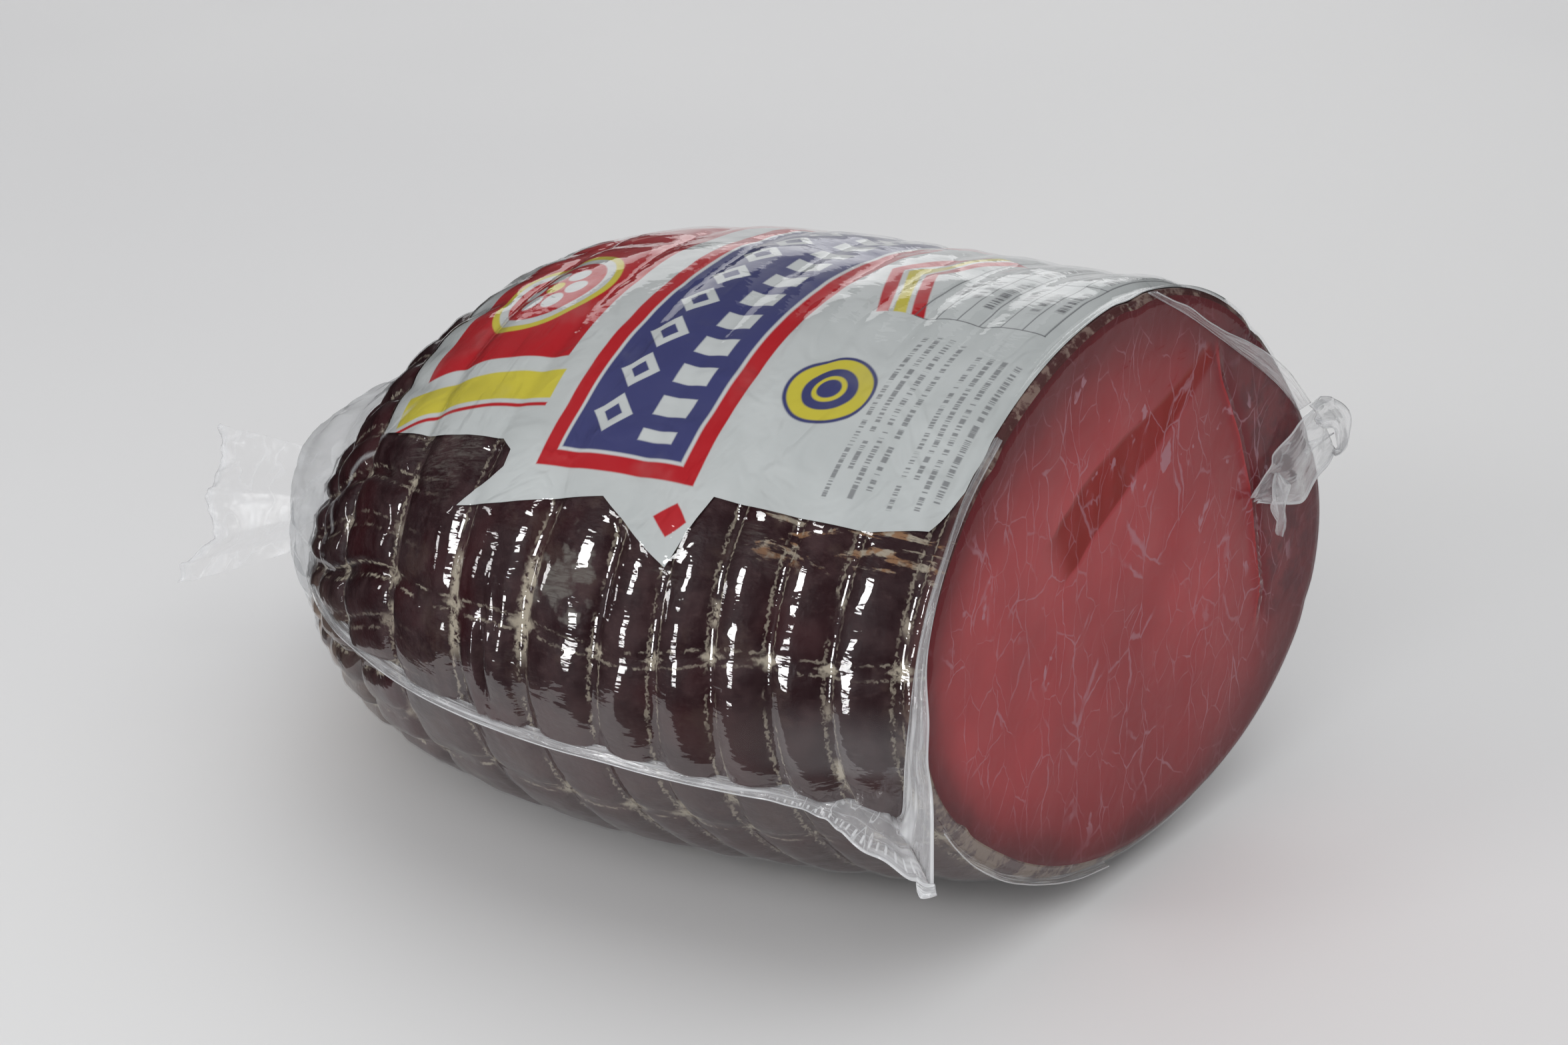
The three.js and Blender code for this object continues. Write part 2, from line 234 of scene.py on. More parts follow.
def relief(along, angle, wide):
    """How far the rind swells between the net's grooves, how deep the grooves are, and how far
    the swelling reaches at most. All of them grow in the tail. Wide grooves are the film's."""
    share = along / LENGTH
    row, spacing = net_row(along, angle)
    column, strength = net_column(along, angle)
    to_ring = np.abs(row - np.round(row)) * spacing
    to_cord = (np.abs(column - np.round(column)) * np.radians(CORD_STEP)
               * np.maximum(section(share)[0], 8))
    tail = smooth(share, 0.45, 0.75)
    groove = RING_DEPTH * (1 + 0.8 * tail) * np.exp(-(to_ring / (RING_WIDTH * wide)) ** 2)
    cord_width = (CORD_WIDTH - 1.3 * tail) * wide
    pleat = CORD_DEPTH * (1 + 1.1 * tail) * strength * np.exp(-(to_cord / cord_width) ** 2)
    crown = 0.7 + 0.8 * tail
    between_cords = 1 - 0.5 * tail * strength * (1 - smooth(to_cord, 0, 7))
    swell = crown * smooth(to_ring, 0, 6.5) * between_cords
    off_the_floor = smooth(np.sin(np.radians(angle)), -0.97, -0.8)
    kept = off_the_floor * (1 - smooth(share, 0.95, 1))
    return swell * kept, np.maximum(groove, pleat + 0.35 * groove) * kept, crown * kept


def unevenness(points, along, angle):
    """Lumps of the meat, and fine wrinkles where the skin gathers on the near side."""
    lumps = (0.8 * noise(points, (9, 9, 9), 1) + 0.4 * noise(points, (4.5, 3, 3), 2)
             + 1.3 * noise(points, 23, 3))
    gathered = np.exp(-((along - 86) / 11) ** 2 - ((angle - 181) / 12) ** 2)
    wrinkles = 1.4 * noise_at(along, angle, (1.7, 14, 1), 4)
    return (0.28 * lumps + 1.2 * gathered * wrinkles) * smooth(along, 0, 6)


def skin(along, angle, grow=0.0, grooves=1.0, uneven=1.0, wide=1.0, bridged=0.0):
    """Points of the rind, or of what lies on it: moved out by grow, with a share of the grooves,
    and lying straight from crown to crown by the bridged share."""
    along, angle = np.broadcast_arrays(np.asarray(along, float), np.asarray(angle, float))
    share = along / LENGTH
    half_width, half_height, middle, height = section(share)
    turn = np.radians(angle)
    wave = sum(size * np.sin(turns * turn + math.radians(phase))
               for size, turns, phase in SECTION_WAVES)
    stretch = 1 + wave * (1 - share)
    out = grow + 0 * along
    points = np.stack([-along, middle + half_width * stretch * np.cos(turn),
                       height + half_height * stretch * np.sin(turn)], -1)
    if uneven:
        swell, groove, crown = relief(along, angle, wide)
        out = out + swell + bridged * (crown - swell) - grooves * groove
        out = out + unevenness(points, along, angle)
    points[..., 1] += out * np.cos(turn)
    points[..., 2] += out * np.sin(turn)
    points[..., 2] = np.maximum(points[..., 2], LOWEST)
    return points


def skin_at_height(along, height, side, grow=0.0):
    """A point of the plain body at a height, on the near side (-1) or the far side (1)."""
    low, high = (270.0, 90.0) if side < 0 else (-90.0, 90.0)
    for _ in range(20):
        middle = (low + high) / 2
        if skin(along, middle, 0, uneven=0)[2] < height:
            low = middle
        else:
            high = middle
    return skin(along, (low + high) / 2, grow, uneven=0)


def arc_length(along, angle):
    """Millimetres round the section from the top, + towards the near side, for a grid of places."""
    steps = np.arange(0, 361, 1.0) - 90
    ring = skin(along[:, :1], steps[None, :], uneven=0)
    lengths = np.cumsum(np.linalg.norm(np.diff(ring, axis=1), axis=-1), axis=1)
    lengths = np.concatenate([np.zeros((len(along), 1)), lengths], axis=1)
    top = lengths[:, 180]
    return np.stack([np.interp(angle[i], steps, lengths[i]) - top[i] for i in range(len(along))])


def fillet(angle):
    """Radius of the cut face's rim."""
    return RIM_RADIUS + CORNER_RADIUS * np.exp(-((angle - CORNER_ANGLE) / CORNER_SPREAD) ** 2)


def rim_inset(along, angle):
    radius = fillet(angle)
    short = np.clip(radius - along, 0, radius)
    return radius - np.sqrt(radius ** 2 - short ** 2)


# Where the drawing frame lies in the row frame
low_corner, high_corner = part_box("cured_meat")
crowns = (RING_MARKS[:-2] + RING_MARKS[1:-1]) / 2
sampled = skin(crowns[:, None], np.arange(0, 360, 7.5)[None, :], uneven=0)[..., 1]
SHIFT = np.array([
    high_corner.x * 1000,
    (low_corner.y + high_corner.y) * 500 - (sampled.min() + sampled.max()) / 2,
    0.0,
])


def to_row(points):
    return (np.asarray(points, float) + SHIFT) / 1000


# Mesh helpers
def mesh_object(name, points, faces, material, uvs=None):
    """A smooth mesh from points in metres, with UV maps given for each face's corners."""
    mesh = bpy.data.meshes.new(name)
    mesh.from_pydata(points.tolist(), [], [tuple(f) for f in faces])
    for uv_name, corners in (uvs or {}).items():
        layer = mesh.uv_layers.new(name=uv_name)
        layer.data.foreach_set("uv", np.asarray(corners, np.float32).ravel())
    mesh.polygons.foreach_set("use_smooth", [True] * len(mesh.polygons))
    mesh.update()
    mesh.materials.append(material)
    made = bpy.data.objects.new(name, mesh)
    bpy.context.scene.collection.objects.link(made)
    return made


def grid_faces(rows, columns, closed=False):
    """Quads of a grid of points; closed joins the last column to the first. Columns past the
    last are numbered on, so that UV values don't jump back at the join."""
    r, c = np.meshgrid(np.arange(rows - 1), np.arange(columns if closed else columns - 1),
                       indexing="ij")
    r, c = r.ravel(), c.ravel()
    corners = [(r, c), (r + 1, c), (r + 1, c + 1), (r, c + 1)]
    return np.stack([a * columns + b % columns for a, b in corners], -1), corners


def ring_object(name, points, material, maps):
    """A grid of points closed round the section as one piece, with points that lie in one place
    joined. Each map is a grid of pairs of UV values with one more column."""
    faces, corners = grid_faces(*points.shape[:2], closed=True)
    uvs = {}
    for uv_name, pair in maps.items():
        grid = np.stack(np.broadcast_arrays(*pair), -1)
        uvs[uv_name] = np.stack([grid[a, b] for a, b in corners], 1)
    piece = mesh_object(name, to_row(points.reshape(-1, 3)), faces, material, uvs)
    bm = bmesh.new()
    bm.from_mesh(piece.data)
    bmesh.ops.remove_doubles(bm, verts=bm.verts, dist=1e-6)
    bm.to_mesh(piece.data)
    bm.free()
    return piece


class Shader:
    """A material's node tree, with short names for the nodes used here. It keeps the base colour
    so far, on which each paint is laid."""

    def __init__(self, name):
        self.material = bpy.data.materials.new(name)
        self.material.use_nodes = True
        self.tree = self.material.node_tree
        self.tree.nodes.clear()
        self.colour = None

    def put(self, socket, value):
        if isinstance(value, bpy.types.NodeSocket):
            self.tree.links.new(value, socket)
        elif value is not None:
            colour = hasattr(value, "__len__") and len(value) < len(socket.default_value)
            socket.default_value = (*value, 1) if colour else value

    def node(self, kind, inputs=(), **settings):
        """A new node's outputs, given its inputs by name or number, and its settings."""
        made = self.tree.nodes.new("ShaderNode" + kind)
        for name, value in settings.items():
            setattr(made, name, value)
        for key, value in dict(inputs).items():
            self.put(made.inputs[key], value)
        return made.outputs

    def math(self, operation, *values):
        return self.node("Math", enumerate(values), operation=operation)[0]

    def chain(self, operation, *values):
        return reduce(lambda a, b: self.math(operation, a, b), values)

    add = partialmethod(chain, "ADD")
    sub = partialmethod(chain, "SUBTRACT")
    mul = partialmethod(chain, "MULTIPLY")
    div = partialmethod(chain, "DIVIDE")
    least = partialmethod(chain, "MINIMUM")
    most = partialmethod(chain, "MAXIMUM")
    absolute = partialmethod(math, "ABSOLUTE")
    fraction = partialmethod(math, "FRACT")

    def distance(self, x, y):
        return self.math("SQRT", self.add(self.mul(x, x), self.mul(y, y)))

    def ramp(self, value, low, high, to_low=0.0, to_high=1.0, kind="SMOOTHSTEP"):
        return self.node("MapRange", enumerate((value, low, high, to_low, to_high)),
                         interpolation_type=kind)[0]

    def mix(self, factor, a, b):
        return self.node("Mix", {0: factor, 6: a, 7: b}, data_type="RGBA")[2]

    def paint(self, mask, ink, strength=1.0):
        share = self.mul(mask, strength) if strength != 1 else mask
        self.colour = self.mix(share, self.colour, ink)

    def uv(self, name):
        split = self.node("SeparateXYZ", {0: self.node("UVMap", uv_map=name)[0]})
        return split[0], split[1]

    def place(self):
        """Object coordinates in metres."""
        return self.node("TexCoord")["Object"]

    def combine(self, *parts):
        return self.node("CombineXYZ", enumerate(parts))[0]

    def scaled(self, vector, scale=(1, 1, 1), offset=(0, 0, 0), turn=(0, 0, 0)):
        return self.node("Mapping", {"Vector": vector, "Location": offset, "Rotation": turn,
                                     "Scale": scale})[0]

    def noise(self, vector, scale=1.0, detail=3.0, roughness=0.5, distortion=0.0):
        turned = self.scaled(vector, turn=(0.5, 0.7, 0.3))
        return self.node("TexNoise", {
            "Vector": turned, "Scale": scale, "Detail": detail, "Roughness": roughness,
            "Distortion": distortion})[0]

    def patches(self, vector, scale, detail, roughness, low, high, to_low=0.0, to_high=1.0):
        """Noise turned into patches by a ramp."""
        return self.ramp(self.noise(vector, scale, detail, roughness), low, high, to_low, to_high)

    def bump(self, height, distance, strength=1.0, normal=None):
        return self.node("Bump", {"Height": height, "Distance": distance * MM,
                                  "Strength": strength, "Normal": normal})[0]

    def facing(self, normal, power):
        """From 0 for film seen straight on to 1 for film seen edge on."""
        facing = self.node("LayerWeight", {"Blend": 0.5, "Normal": normal})["Facing"]
        return self.math("POWER", facing, power)

    def surface(self, **inputs):
        named = {name.replace("_", " "): value for name, value in inputs.items()}
        return self.node("BsdfPrincipled", named)[0]

    def finish(self, shader):
        self.tree.links.new(shader, self.tree.nodes.new("ShaderNodeOutputMaterial").inputs[0])
        return self.material

    def film(self, normal, milk, milky, shine, rough, tint=(1, 1, 1)):
        """See-through film, partly milky by one share and glossy by another."""
        clear = self.node("BsdfTransparent", {"Color": tint})[0]
        gloss = self.node("BsdfGlossy", {"Color": (1, 1, 1), "Roughness": rough,
                                         "Normal": normal})[0]
        body = self.node("MixShader", {0: milk, 1: clear, 2: milky})[0]
        return self.finish(self.node("MixShader", {0: shine, 1: body, 2: gloss})[0])


# Materials
def rind_material():
    """Dark rind with pale remains along the net's marks, and mould, streaks and dried skin."""
    s = Shader("rind")
    along, around = s.uv("Plan")
    row, column = s.uv("Net")
    pitch, strength = s.uv("Pitch")
    place = s.place()
    flat = s.combine(along, around)

    def distance_to_mark(value, spacing):
        return s.mul(s.absolute(s.sub(s.fraction(s.add(value, 0.5)), 0.5)), spacing)

    def zone(along_low, along_high, around_low, around_high, height=around):
        return s.mul(s.ramp(along, along_low, along_high), s.ramp(height, around_low, around_high))

    ragged = s.patches(place, 1100, 2, 0.5, 0.3, 0.7, -0.2, 0.2)
    to_ring = s.add(distance_to_mark(row, pitch), ragged)
    to_cord = s.add(distance_to_mark(column, CORD_STEP), ragged)

    mottle = s.noise(place, 130, 4, 0.62)
    s.colour = s.mix(s.ramp(mottle, 0.42, 0.7), RIND_DARK, RIND_LIGHT)
    s.paint(s.patches(s.scaled(place, (1, 1, 2.2)), 620, 3, 0.6, 0.52, 0.75), RIND_FLECKS, 0.35)
    wine_place = s.scaled(place, offset=(0.3, 0.1, 0))
    s.paint(s.patches(wine_place, 48, 2, 0.5, 0.5, 0.68), RIND_WINE, 0.55)
    brown_place = s.scaled(place, offset=(0.2, 0.4, 0.1))
    s.paint(s.patches(brown_place, 85, 5, 0.68, 0.54, 0.66), RIND_BROWN, 0.45)

    # Redder at the rim, with pale skin here and there
    s.paint(s.ramp(along, 3.5, 0.5, 0, 0.6), RIM_RED)
    s.paint(s.mul(zone(2.6, 1.4, 80, 50), s.patches(place, 260, 4, 0.65, 0.5, 0.6)), RIM_SKIN, 0.6)

    # Pale film of dried mould in a few patches
    mould_place = s.scaled(place, offset=(0.12, 0.05, 0.02))
    fibres = s.noise(s.scaled(flat, (0.25, 1.4, 1), turn=(0, 0, 0.6)), 0.9, 5, 0.7, 1.5)
    s.paint(s.mul(s.patches(mould_place, 38, 3, 0.6, 0.6, 0.72), s.ramp(fibres, 0.4, 0.7)),
            MOULD_GREY, 0.7)

    # Cream and brown streaks beside the label, towards the cut face
    streak = s.noise(s.scaled(flat, (0.07, 0.24, 1), turn=(0, 0, -0.25)), 1.0, 6, 0.66, 0.5)
    beside = s.mul(zone(40, 30, 66, 73), s.ramp(around, 84, 78), s.ramp(streak, 0.56, 0.61))
    cream_or_brown = s.patches(flat, 0.5, 2, 0.5, 0.4, 0.6)
    s.paint(beside, s.mix(cream_or_brown, STREAK_BROWN, RESIDUE), 0.85)

    # Greyer and paler below, and beige round the low part of the rounded end
    below = s.ramp(s.sub(around, s.mul(along, 0.14)), 100, 111)
    s.paint(s.mul(below, s.patches(place, 90, 4, 0.6, 0.3, 0.7, 0.35, 1.0)), RIND_BELOW, 0.6)
    tail_place = s.add(around, s.mul(s.sub(along, 123), 0.9))
    s.paint(s.mul(zone(118, 138, 98, 108, tail_place),
                  s.patches(place, 150, 4, 0.65, 0.35, 0.65, 0.3, 1.0)), TAIL_BELOW, 0.65)
    s.paint(s.mul(zone(136, 168, 98, 112, tail_place), s.ramp(mottle, 0.38, 0.52)),
            TAIL_BEIGE, 0.75)

    # A round patch of dried mould with fibres
    far = s.add(s.distance(s.sub(along, 67.5), s.mul(s.sub(around, 91), 0.7)),
                s.patches(place, 240, 3, 0.5, 0.3, 0.7, -3, 3))
    s.paint(s.mul(s.ramp(far, 5.5, 3.0), s.ramp(fibres, 0.35, 0.6, 0.3, 0.9)), MOULD_GREY)

    # Pale dried skin round the low near corner of the rim
    s.paint(s.mul(zone(6.5, 1.0, 96, 112), s.patches(place, 210, 4, 0.65, 0.42, 0.56)),
            CORNER_SKIN, 0.7)

    # Broken lines of residue along both sides of each mark, with pale filling here and there
    crumbs = s.noise(place, 420, 3, 0.7)
    spread = s.noise(place, 62, 2)
    some = s.ramp(crumbs, 0.36, 0.5)
    shown = s.patches(place, 150, 3, 0.5, 0.38, 0.52)
    ring_side = s.ramp(s.absolute(s.sub(to_ring, 0.9)), 0.34, 0.1)
    ring_line = s.mul(ring_side, s.patches(place, 1300, 1, 0.5, 0.36, 0.52), shown, 0.62)
    fill = s.mul(s.ramp(to_ring, 0.9, 0.4), s.ramp(spread, 0.58, 0.66), some)
    thick = s.mul(zone(70, 73, 85, 91), zone(97, 94, 110, 104), s.ramp(to_ring, 1.7, 0.9),
                  s.ramp(crumbs, 0.42, 0.52))
    cord_side = s.ramp(s.absolute(s.sub(to_cord, 1.3)), 0.42, 0.12)
    cord_line = s.mul(cord_side, strength, s.ramp(crumbs, 0.42, 0.56), shown, 0.9)
    knot_size = s.ramp(spread, 0.35, 0.65, 1.6, 3.8)
    knot = s.mul(s.ramp(s.add(s.mul(to_ring, 0.8), to_cord), knot_size, 0.8),
                 s.ramp(strength, 0.1, 0.4), some)
    residue = s.most(ring_line, fill, thick, cord_line, knot)
    s.paint(residue, RESIDUE)

    normal = s.bump(s.noise(s.scaled(place, (1, 2.5, 2.5)), 520, 4, 0.6), 0.25, 0.6)
    normal = s.bump(s.noise(s.scaled(place, (2.0, 1, 1)), 170), 0.8, 0.5, normal)
    normal = s.bump(residue, 0.3, 0.6, normal)
    return s.finish(s.surface(Base_Color=s.colour, Roughness=s.ramp(mottle, 0.3, 0.7, 0.38, 0.62),
                              Normal=normal, Specular_IOR_Level=0.35))


def face_material():
    """Cut meat: dull rose red, darker towards the rim, with thin pale veins that mostly run up."""
    s = Shader("cut_meat")
    depth, dark = s.uv("Rim")
    place = s.place()
    drift = s.node("TexNoise", {"Vector": place, "Scale": 110, "Detail": 4})["Color"]
    warped = s.node("VectorMath", {0: drift, 1: (0.0, 0.006, 0.006), 2: place},
                    operation="MULTIPLY_ADD")[0]

    fibre = s.noise(s.scaled(warped, (1, 1.0, 0.3)), 300, 4, 0.6)
    s.colour = s.mix(s.patches(place, 26, 3, 0.55, 0.3, 0.7), MEAT_RED, MEAT_DEEP)
    s.paint(s.ramp(fibre, 0.4, 0.75), MEAT_FIBRES, 0.4)
    s.paint(s.ramp(s.div(depth, dark), 3.0, 0.8), MEAT_OUTER, 0.5)
    # Painted shade: the cut face darker towards its bottom
    height = s.node("SeparateXYZ", {0: place})[2]
    s.paint(s.ramp(height, 0.062, 0.012, 0, 0.55), MEAT_LOW_SHADE)

    # Dark rim, wider in places
    edge = s.add(depth, s.patches(place, 45, 3, 0.5, 0.3, 0.7, -1.6, 1.3))
    s.paint(s.ramp(s.div(edge, dark), 1.6, 0.2), MEAT_RIM, 0.7)
    s.paint(s.ramp(edge, 2.0, 0.2), MEAT_OUTLINE, 0.3)

    # The wet band; painted shade along the fold and, in blotches, past it where the film stands
    # off; and the fold's red line
    to_fold, by_fold = s.uv("Fold")
    streaky = s.patches(s.scaled(place, (1, 1.2, 0.5)), 160, 2, 0.5, 0.3, 0.7, 0.75, 1.0)
    s.paint(s.mul(s.uv("Wet")[0], streaky), MEAT_WET)
    s.paint(s.mul(s.ramp(to_fold, 0.2, 1.4), s.ramp(to_fold, 9, 2.5), by_fold), FOLD_SHADE, 0.4)
    blotches = s.patches(place, 170, 4, 0.68, 0.42, 0.62, 0.15, 0.75)
    s.paint(s.mul(s.ramp(to_fold, 1.5, 6), blotches, by_fold), PAST_FOLD_SHADE)
    s.paint(s.mul(s.ramp(s.absolute(s.add(to_fold, 0.3)), 1.1, 0.3), by_fold), FOLD_RED, 0.8)

    # Veins: the edges of tall cells, broken up so that only some of each shows
    def veins(scale, stretch, offset, width, shown):
        cells = s.node("TexVoronoi", {"Vector": s.scaled(warped, (1, 1, stretch), offset),
                                      "Scale": scale}, feature="DISTANCE_TO_EDGE")["Distance"]
        thick = s.patches(s.scaled(place, (1, 1, 0.6), offset), 240, 2, 0.5, 0.35, 0.7, 0.25, 1.0)
        line = s.ramp(s.div(cells, thick), width, width * 0.15)
        part = s.noise(s.scaled(place, (1, 1, 0.45), offset), 95, 3, 0.6)
        return s.mul(line, s.ramp(part, shown, shown + 0.13))

    main = s.mul(veins(105, 0.42, (0, 0, 0), 0.030, 0.40), 0.46)
    small = s.mul(veins(190, 0.5, (0.4, 0.2, 0.1), 0.036, 0.37), 0.32)
    blot = s.mul(s.patches(s.scaled(warped, (1, 1, 0.7)), 210, 3, 0.5, 0.64, 0.68),
                 s.patches(place, 38, 2, 0.5, 0.5, 0.58), 0.6)
    inner = s.ramp(s.ramp(edge, 4, 12), 0, 1, 0.25, 1.0)
    s.paint(s.mul(s.most(main, small, blot), inner), FAT_LILAC)

    normal = s.bump(fibre, 0.15, 0.5)
    normal = s.bump(s.noise(place, 90), 0.8, 0.4, normal)
    return s.finish(s.surface(
        Base_Color=s.colour, Roughness=0.5, Normal=normal, Specular_IOR_Level=0.12,
        Subsurface_Weight=0.1, Subsurface_Radius=(0.005, 0.0015, 0.001), Subsurface_Scale=0.5))


def label_material():
    """White paper with a generic print: a red field, a blue band edged in red, a round stamp,
    rows of small bars and a ruled table. Places are millimetres from the cut face and round the
    section from the top."""
    s = Shader("printed_paper")
    along, around = s.uv("Plan")
    place = s.place()

    def step(value, low, high):
        return s.ramp(value, low, high, kind="LINEAR")

    def between(value, low, high, soft=0.18):
        return s.least(step(value, low - soft, low + soft), step(s.sub(value, high), soft, -soft))

    def rectangle(a, b, c, d, soft=0.18):
        return s.least(between(along, a, b, soft), between(around, c, d, soft))

    def disc(a, c, radius, soft=0.18):
        distance = s.distance(s.sub(along, a), s.sub(around, c))
        return step(distance, radius + soft, radius - soft)

    def print_all(shape, *list_of_places):
        for *measures, ink in list_of_places:
            s.paint(shape(*measures), ink)

    def lozenges(a, c, d, pitch, half):
        """A row of lozenges round the section at a, from c to d."""
        part = s.mul(s.sub(s.fraction(s.mul(s.sub(around, c), 1 / pitch)), 0.5), pitch)
        size = s.add(s.absolute(s.sub(along, a)), s.absolute(part))
        return s.least(step(size, half + 0.2, half - 0.2), between(around, c, d))

    def bars(a, b, c, d, pitch, seed):
        """Rows of small uneven bars, running round the section."""
        rows = s.mul(s.sub(along, a), 1 / pitch)
        number = s.math("FLOOR", rows)
        longer = s.noise(s.combine(s.mul(around, 0.9), s.mul(number, 7.3), seed), 1.0, 1)
        shorter = s.noise(s.combine(s.mul(around, 3.2), s.mul(number, 5.1), seed), 1.0, 0)
        ends = s.add(d, s.mul(s.math("SINE", s.mul(number, 2.4)), 3.5))
        return s.least(between(s.fraction(rows), 0.25, 0.65, 0.06),
                       between(around, c, ends), between(along, a, b),
                       s.ramp(longer, 0.36, 0.39), s.ramp(shorter, 0.42, 0.5))

    s.colour = s.mix(s.patches(place, 60, 3, 0.5, 0.3, 0.7), PAPER, PAPER_DULL)

    # Red field towards the rounded end, with a pale medallion and a yellow rule
    print_all(rectangle, (88, 126, -52, 47, PRINT_RED))
    row = (MEDALLION[0], -46, 4, 12.5)
    print_all(lozenges, (*row, 4.4, PRINT_PINK), (*row, 2.6, PRINT_RED))
    x, y = MEDALLION
    dots = [(x + 5.2 * math.cos(t), y + 5.2 * math.sin(t), 2.3, PAPER)
            for t in np.radians(range(0, 360, 60))]
    print_all(disc, (x, y, 13.5, PRINT_YELLOW), (x, y, 12, PAPER), (x, y, 10.2, PRINT_RED),
              *dots, (x, y, 1.9, PRINT_YELLOW))
    print_all(rectangle, (86, 128, 50.5, 57, PRINT_YELLOW), (86, 128, 58, 58.8, PRINT_RED))

    # Blue band with red edges and a white keyline, run round the body
    print_all(rectangle, (48, 81, -58, 71, PRINT_RED), (51.2, 77.8, -58, 67.8, PAPER),
              (51.9, 77.1, -58, 67.1, PRINT_BLUE))
    print_all(lozenges, (70.5, -56, 64, 10, 4.3, PAPER), (70.5, -56, 64, 10, 2.0, PRINT_BLUE))
    s.paint(s.least(rectangle(55.5, 62.5, -56, 64),
                    between(s.fraction(s.mul(around, 1 / 7.5)), 0.2, 0.78, 0.02)), PAPER)
    print_all(lozenges, (49.5, 73.5, 82, 8.5, 3.2, PRINT_RED))

    # Chevrons between the band and the small bars
    fold = s.add(along, s.mul(s.absolute(s.sub(around, 6)), 0.42))
    for i, ink in enumerate((PRINT_RED, PRINT_YELLOW, PRINT_RED)):
        s.paint(s.least(between(fold, 36 + 3.4 * i, 38.4 + 3.4 * i), between(around, -12, 24)), ink)

    # Round stamp
    print_all(disc, *[(*STAMP, radius, PRINT_YELLOW if i % 2 else PRINT_BLUE)
                      for i, radius in enumerate((8, 7.3, 4.9, 3.1, 2.2))])

    # Rows of small bars and a ruled table
    for block in (bars(16.2, 25.4, 30, 66, 2.3, 1.0), bars(4.5, 13.7, 34, 66, 2.3, 5.0)):
        s.paint(block, PRINT_GREY, 0.65)
    rules = between(s.fraction(s.mul(s.sub(along, 6), 1 / 4.0)), 0.0, 0.07, 0.03)
    for part in (
            s.least(rules, between(along, 5.8, 30.3), between(around, -24, 24)),
            *[rectangle(6, 30.1, line - 0.15, line + 0.15, 0.08) for line in (-24, 2, 24)],
            s.least(bars(6, 30, -22, 0, 4.0, 9.0), between(around, -22, -1)),
            s.least(bars(6, 30, 5, 16, 4.0, 12.0), between(around, 4, 18))):
        s.paint(part, PRINT_GREY, 0.8)

    # Wet patches let a little of the dark meat through
    s.paint(s.patches(place, 85, 3, 0.5, 0.55, 0.75), PAPER_DAMP, 0.12)

    normal = s.bump(s.noise(place, 700, 3, 0.6), 0.08, 0.5)
    normal = s.bump(s.noise(place, 160, 2), 0.5, 0.35, normal)
    ridges = s.absolute(s.sub(s.noise(s.scaled(place, (1, 0.6, 1)), 62, 3, 0.5, 0.6), 0.5))
    normal = s.bump(s.ramp(ridges, 0.0, 0.10, 1, 0), 0.45, 0.6, normal)
    return s.finish(s.surface(Base_Color=s.colour, Roughness=0.55, Normal=normal,
                              Specular_IOR_Level=0.3))


def tight_film_material(name, over_body):
    """Clear film: mostly see-through, glossy above all where it is seen edge on, with a faint
    haze. Over the body it is milkier where it stands off, and by the seam's end a milky patch
    stands in as painted reflection of the floor; on the cut face it is duller if wet."""
    s = Shader(name)
    place = s.place()
    normal = s.bump(s.noise(s.scaled(place, (0.6, 1, 1.6)), 130, 3, 0.5, 0.4), 0.35)
    normal = s.bump(s.noise(s.scaled(place, (0.35, 1, 1.8)), 900, 2), 0.03, 1.0, normal)
    glancing = s.facing(normal, 5.0)
    haze = s.patches(place, 70, 4, 0.6, 0.4, 0.75, 0, 0.01 if over_body else 0.004)
    if over_body:
        # Milkier where the film stands off and on its creases; by the seam's end a painted
        # reflection of the floor
        over, milk_and_reflection = s.uv("Over")
        shine = s.add(s.ramp(over, 0, 1, 0.10, 0.055),
                      s.mul(glancing, s.ramp(over, 0, 1, 0.35, 0.9)))
        haze = s.add(haze, s.mul(milk_and_reflection, 0.32))
    else:
        dry = s.sub(1.0, s.mul(s.uv("Wet")[0], 0.85))
        shine = s.mul(s.add(s.mul(glancing, 0.35), 0.02), dry)
    milky = s.surface(Base_Color=TIGHT_MILK, Roughness=0.3)
    return s.film(normal, haze, milky, shine, 0.035 if over_body else 0.08, FILM_TINT)


def free_film_material(name, base, streaks, edge=0.7, ear_end=0, clear_until=0, shiny=0.6,
                       rough=0.07):
    """Film off the meat: see-through, with milky streaks along it, and whiter at its edges. Up to
    ear_end it has the welded teeth and rays of the ear; it is clearer before clear_until."""
    s = Shader(name)
    along, across = s.uv("Film")
    wander = s.noise(s.combine(s.mul(along, 0.04)), 1.0, 2)
    fold = s.add(s.mul(across, 3.2), s.mul(wander, 0.8))
    pleats = s.noise(s.combine(s.mul(along, 0.035), fold), 1.4, 2)
    rim = s.most(s.ramp(across, 0.05, 0.0), s.ramp(across, 0.9, 0.985))
    if ear_end:
        ear = s.ramp(along, ear_end, ear_end - 10)
        teeth = s.ramp(s.math("SINE", s.mul(along, 4.4)), 0.3, 0.9)
        weld = s.least(s.ramp(across, 0.66, 0.74), s.ramp(across, 0.93, 0.86))
        rays = s.noise(s.combine(s.mul(along, 0.33), s.mul(across, 0.7)), 1.0, 2)
        rays = s.ramp(s.absolute(s.sub(rays, 0.5)), 0.03, 0.0)
        rim = s.most(rim, s.mul(teeth, weld, ear), s.mul(rays, ear, 0.7))
    line = s.ramp(s.absolute(s.sub(pleats, 0.5)), 0.03, 0.004)
    white = s.add(base, s.mul(s.ramp(pleats, 0.52, 0.72), streaks))
    white = s.most(white, s.mul(line, streaks * 0.9), s.mul(rim, edge))
    if clear_until:
        white = s.mul(white, s.ramp(along, 0.2 * clear_until, clear_until, 0.3, 1.0))
    normal = s.bump(pleats, 0.8)
    normal = s.bump(s.noise(s.place(), 300, 2), 0.15, 1.0, normal)
    milky = s.surface(Base_Color=FREE_MILK, Roughness=0.3, Normal=normal)
    shine = s.add(s.mul(s.facing(normal, 3.0), shiny), 0.1 * shiny)
    return s.film(normal, white, milky, shine, rough)


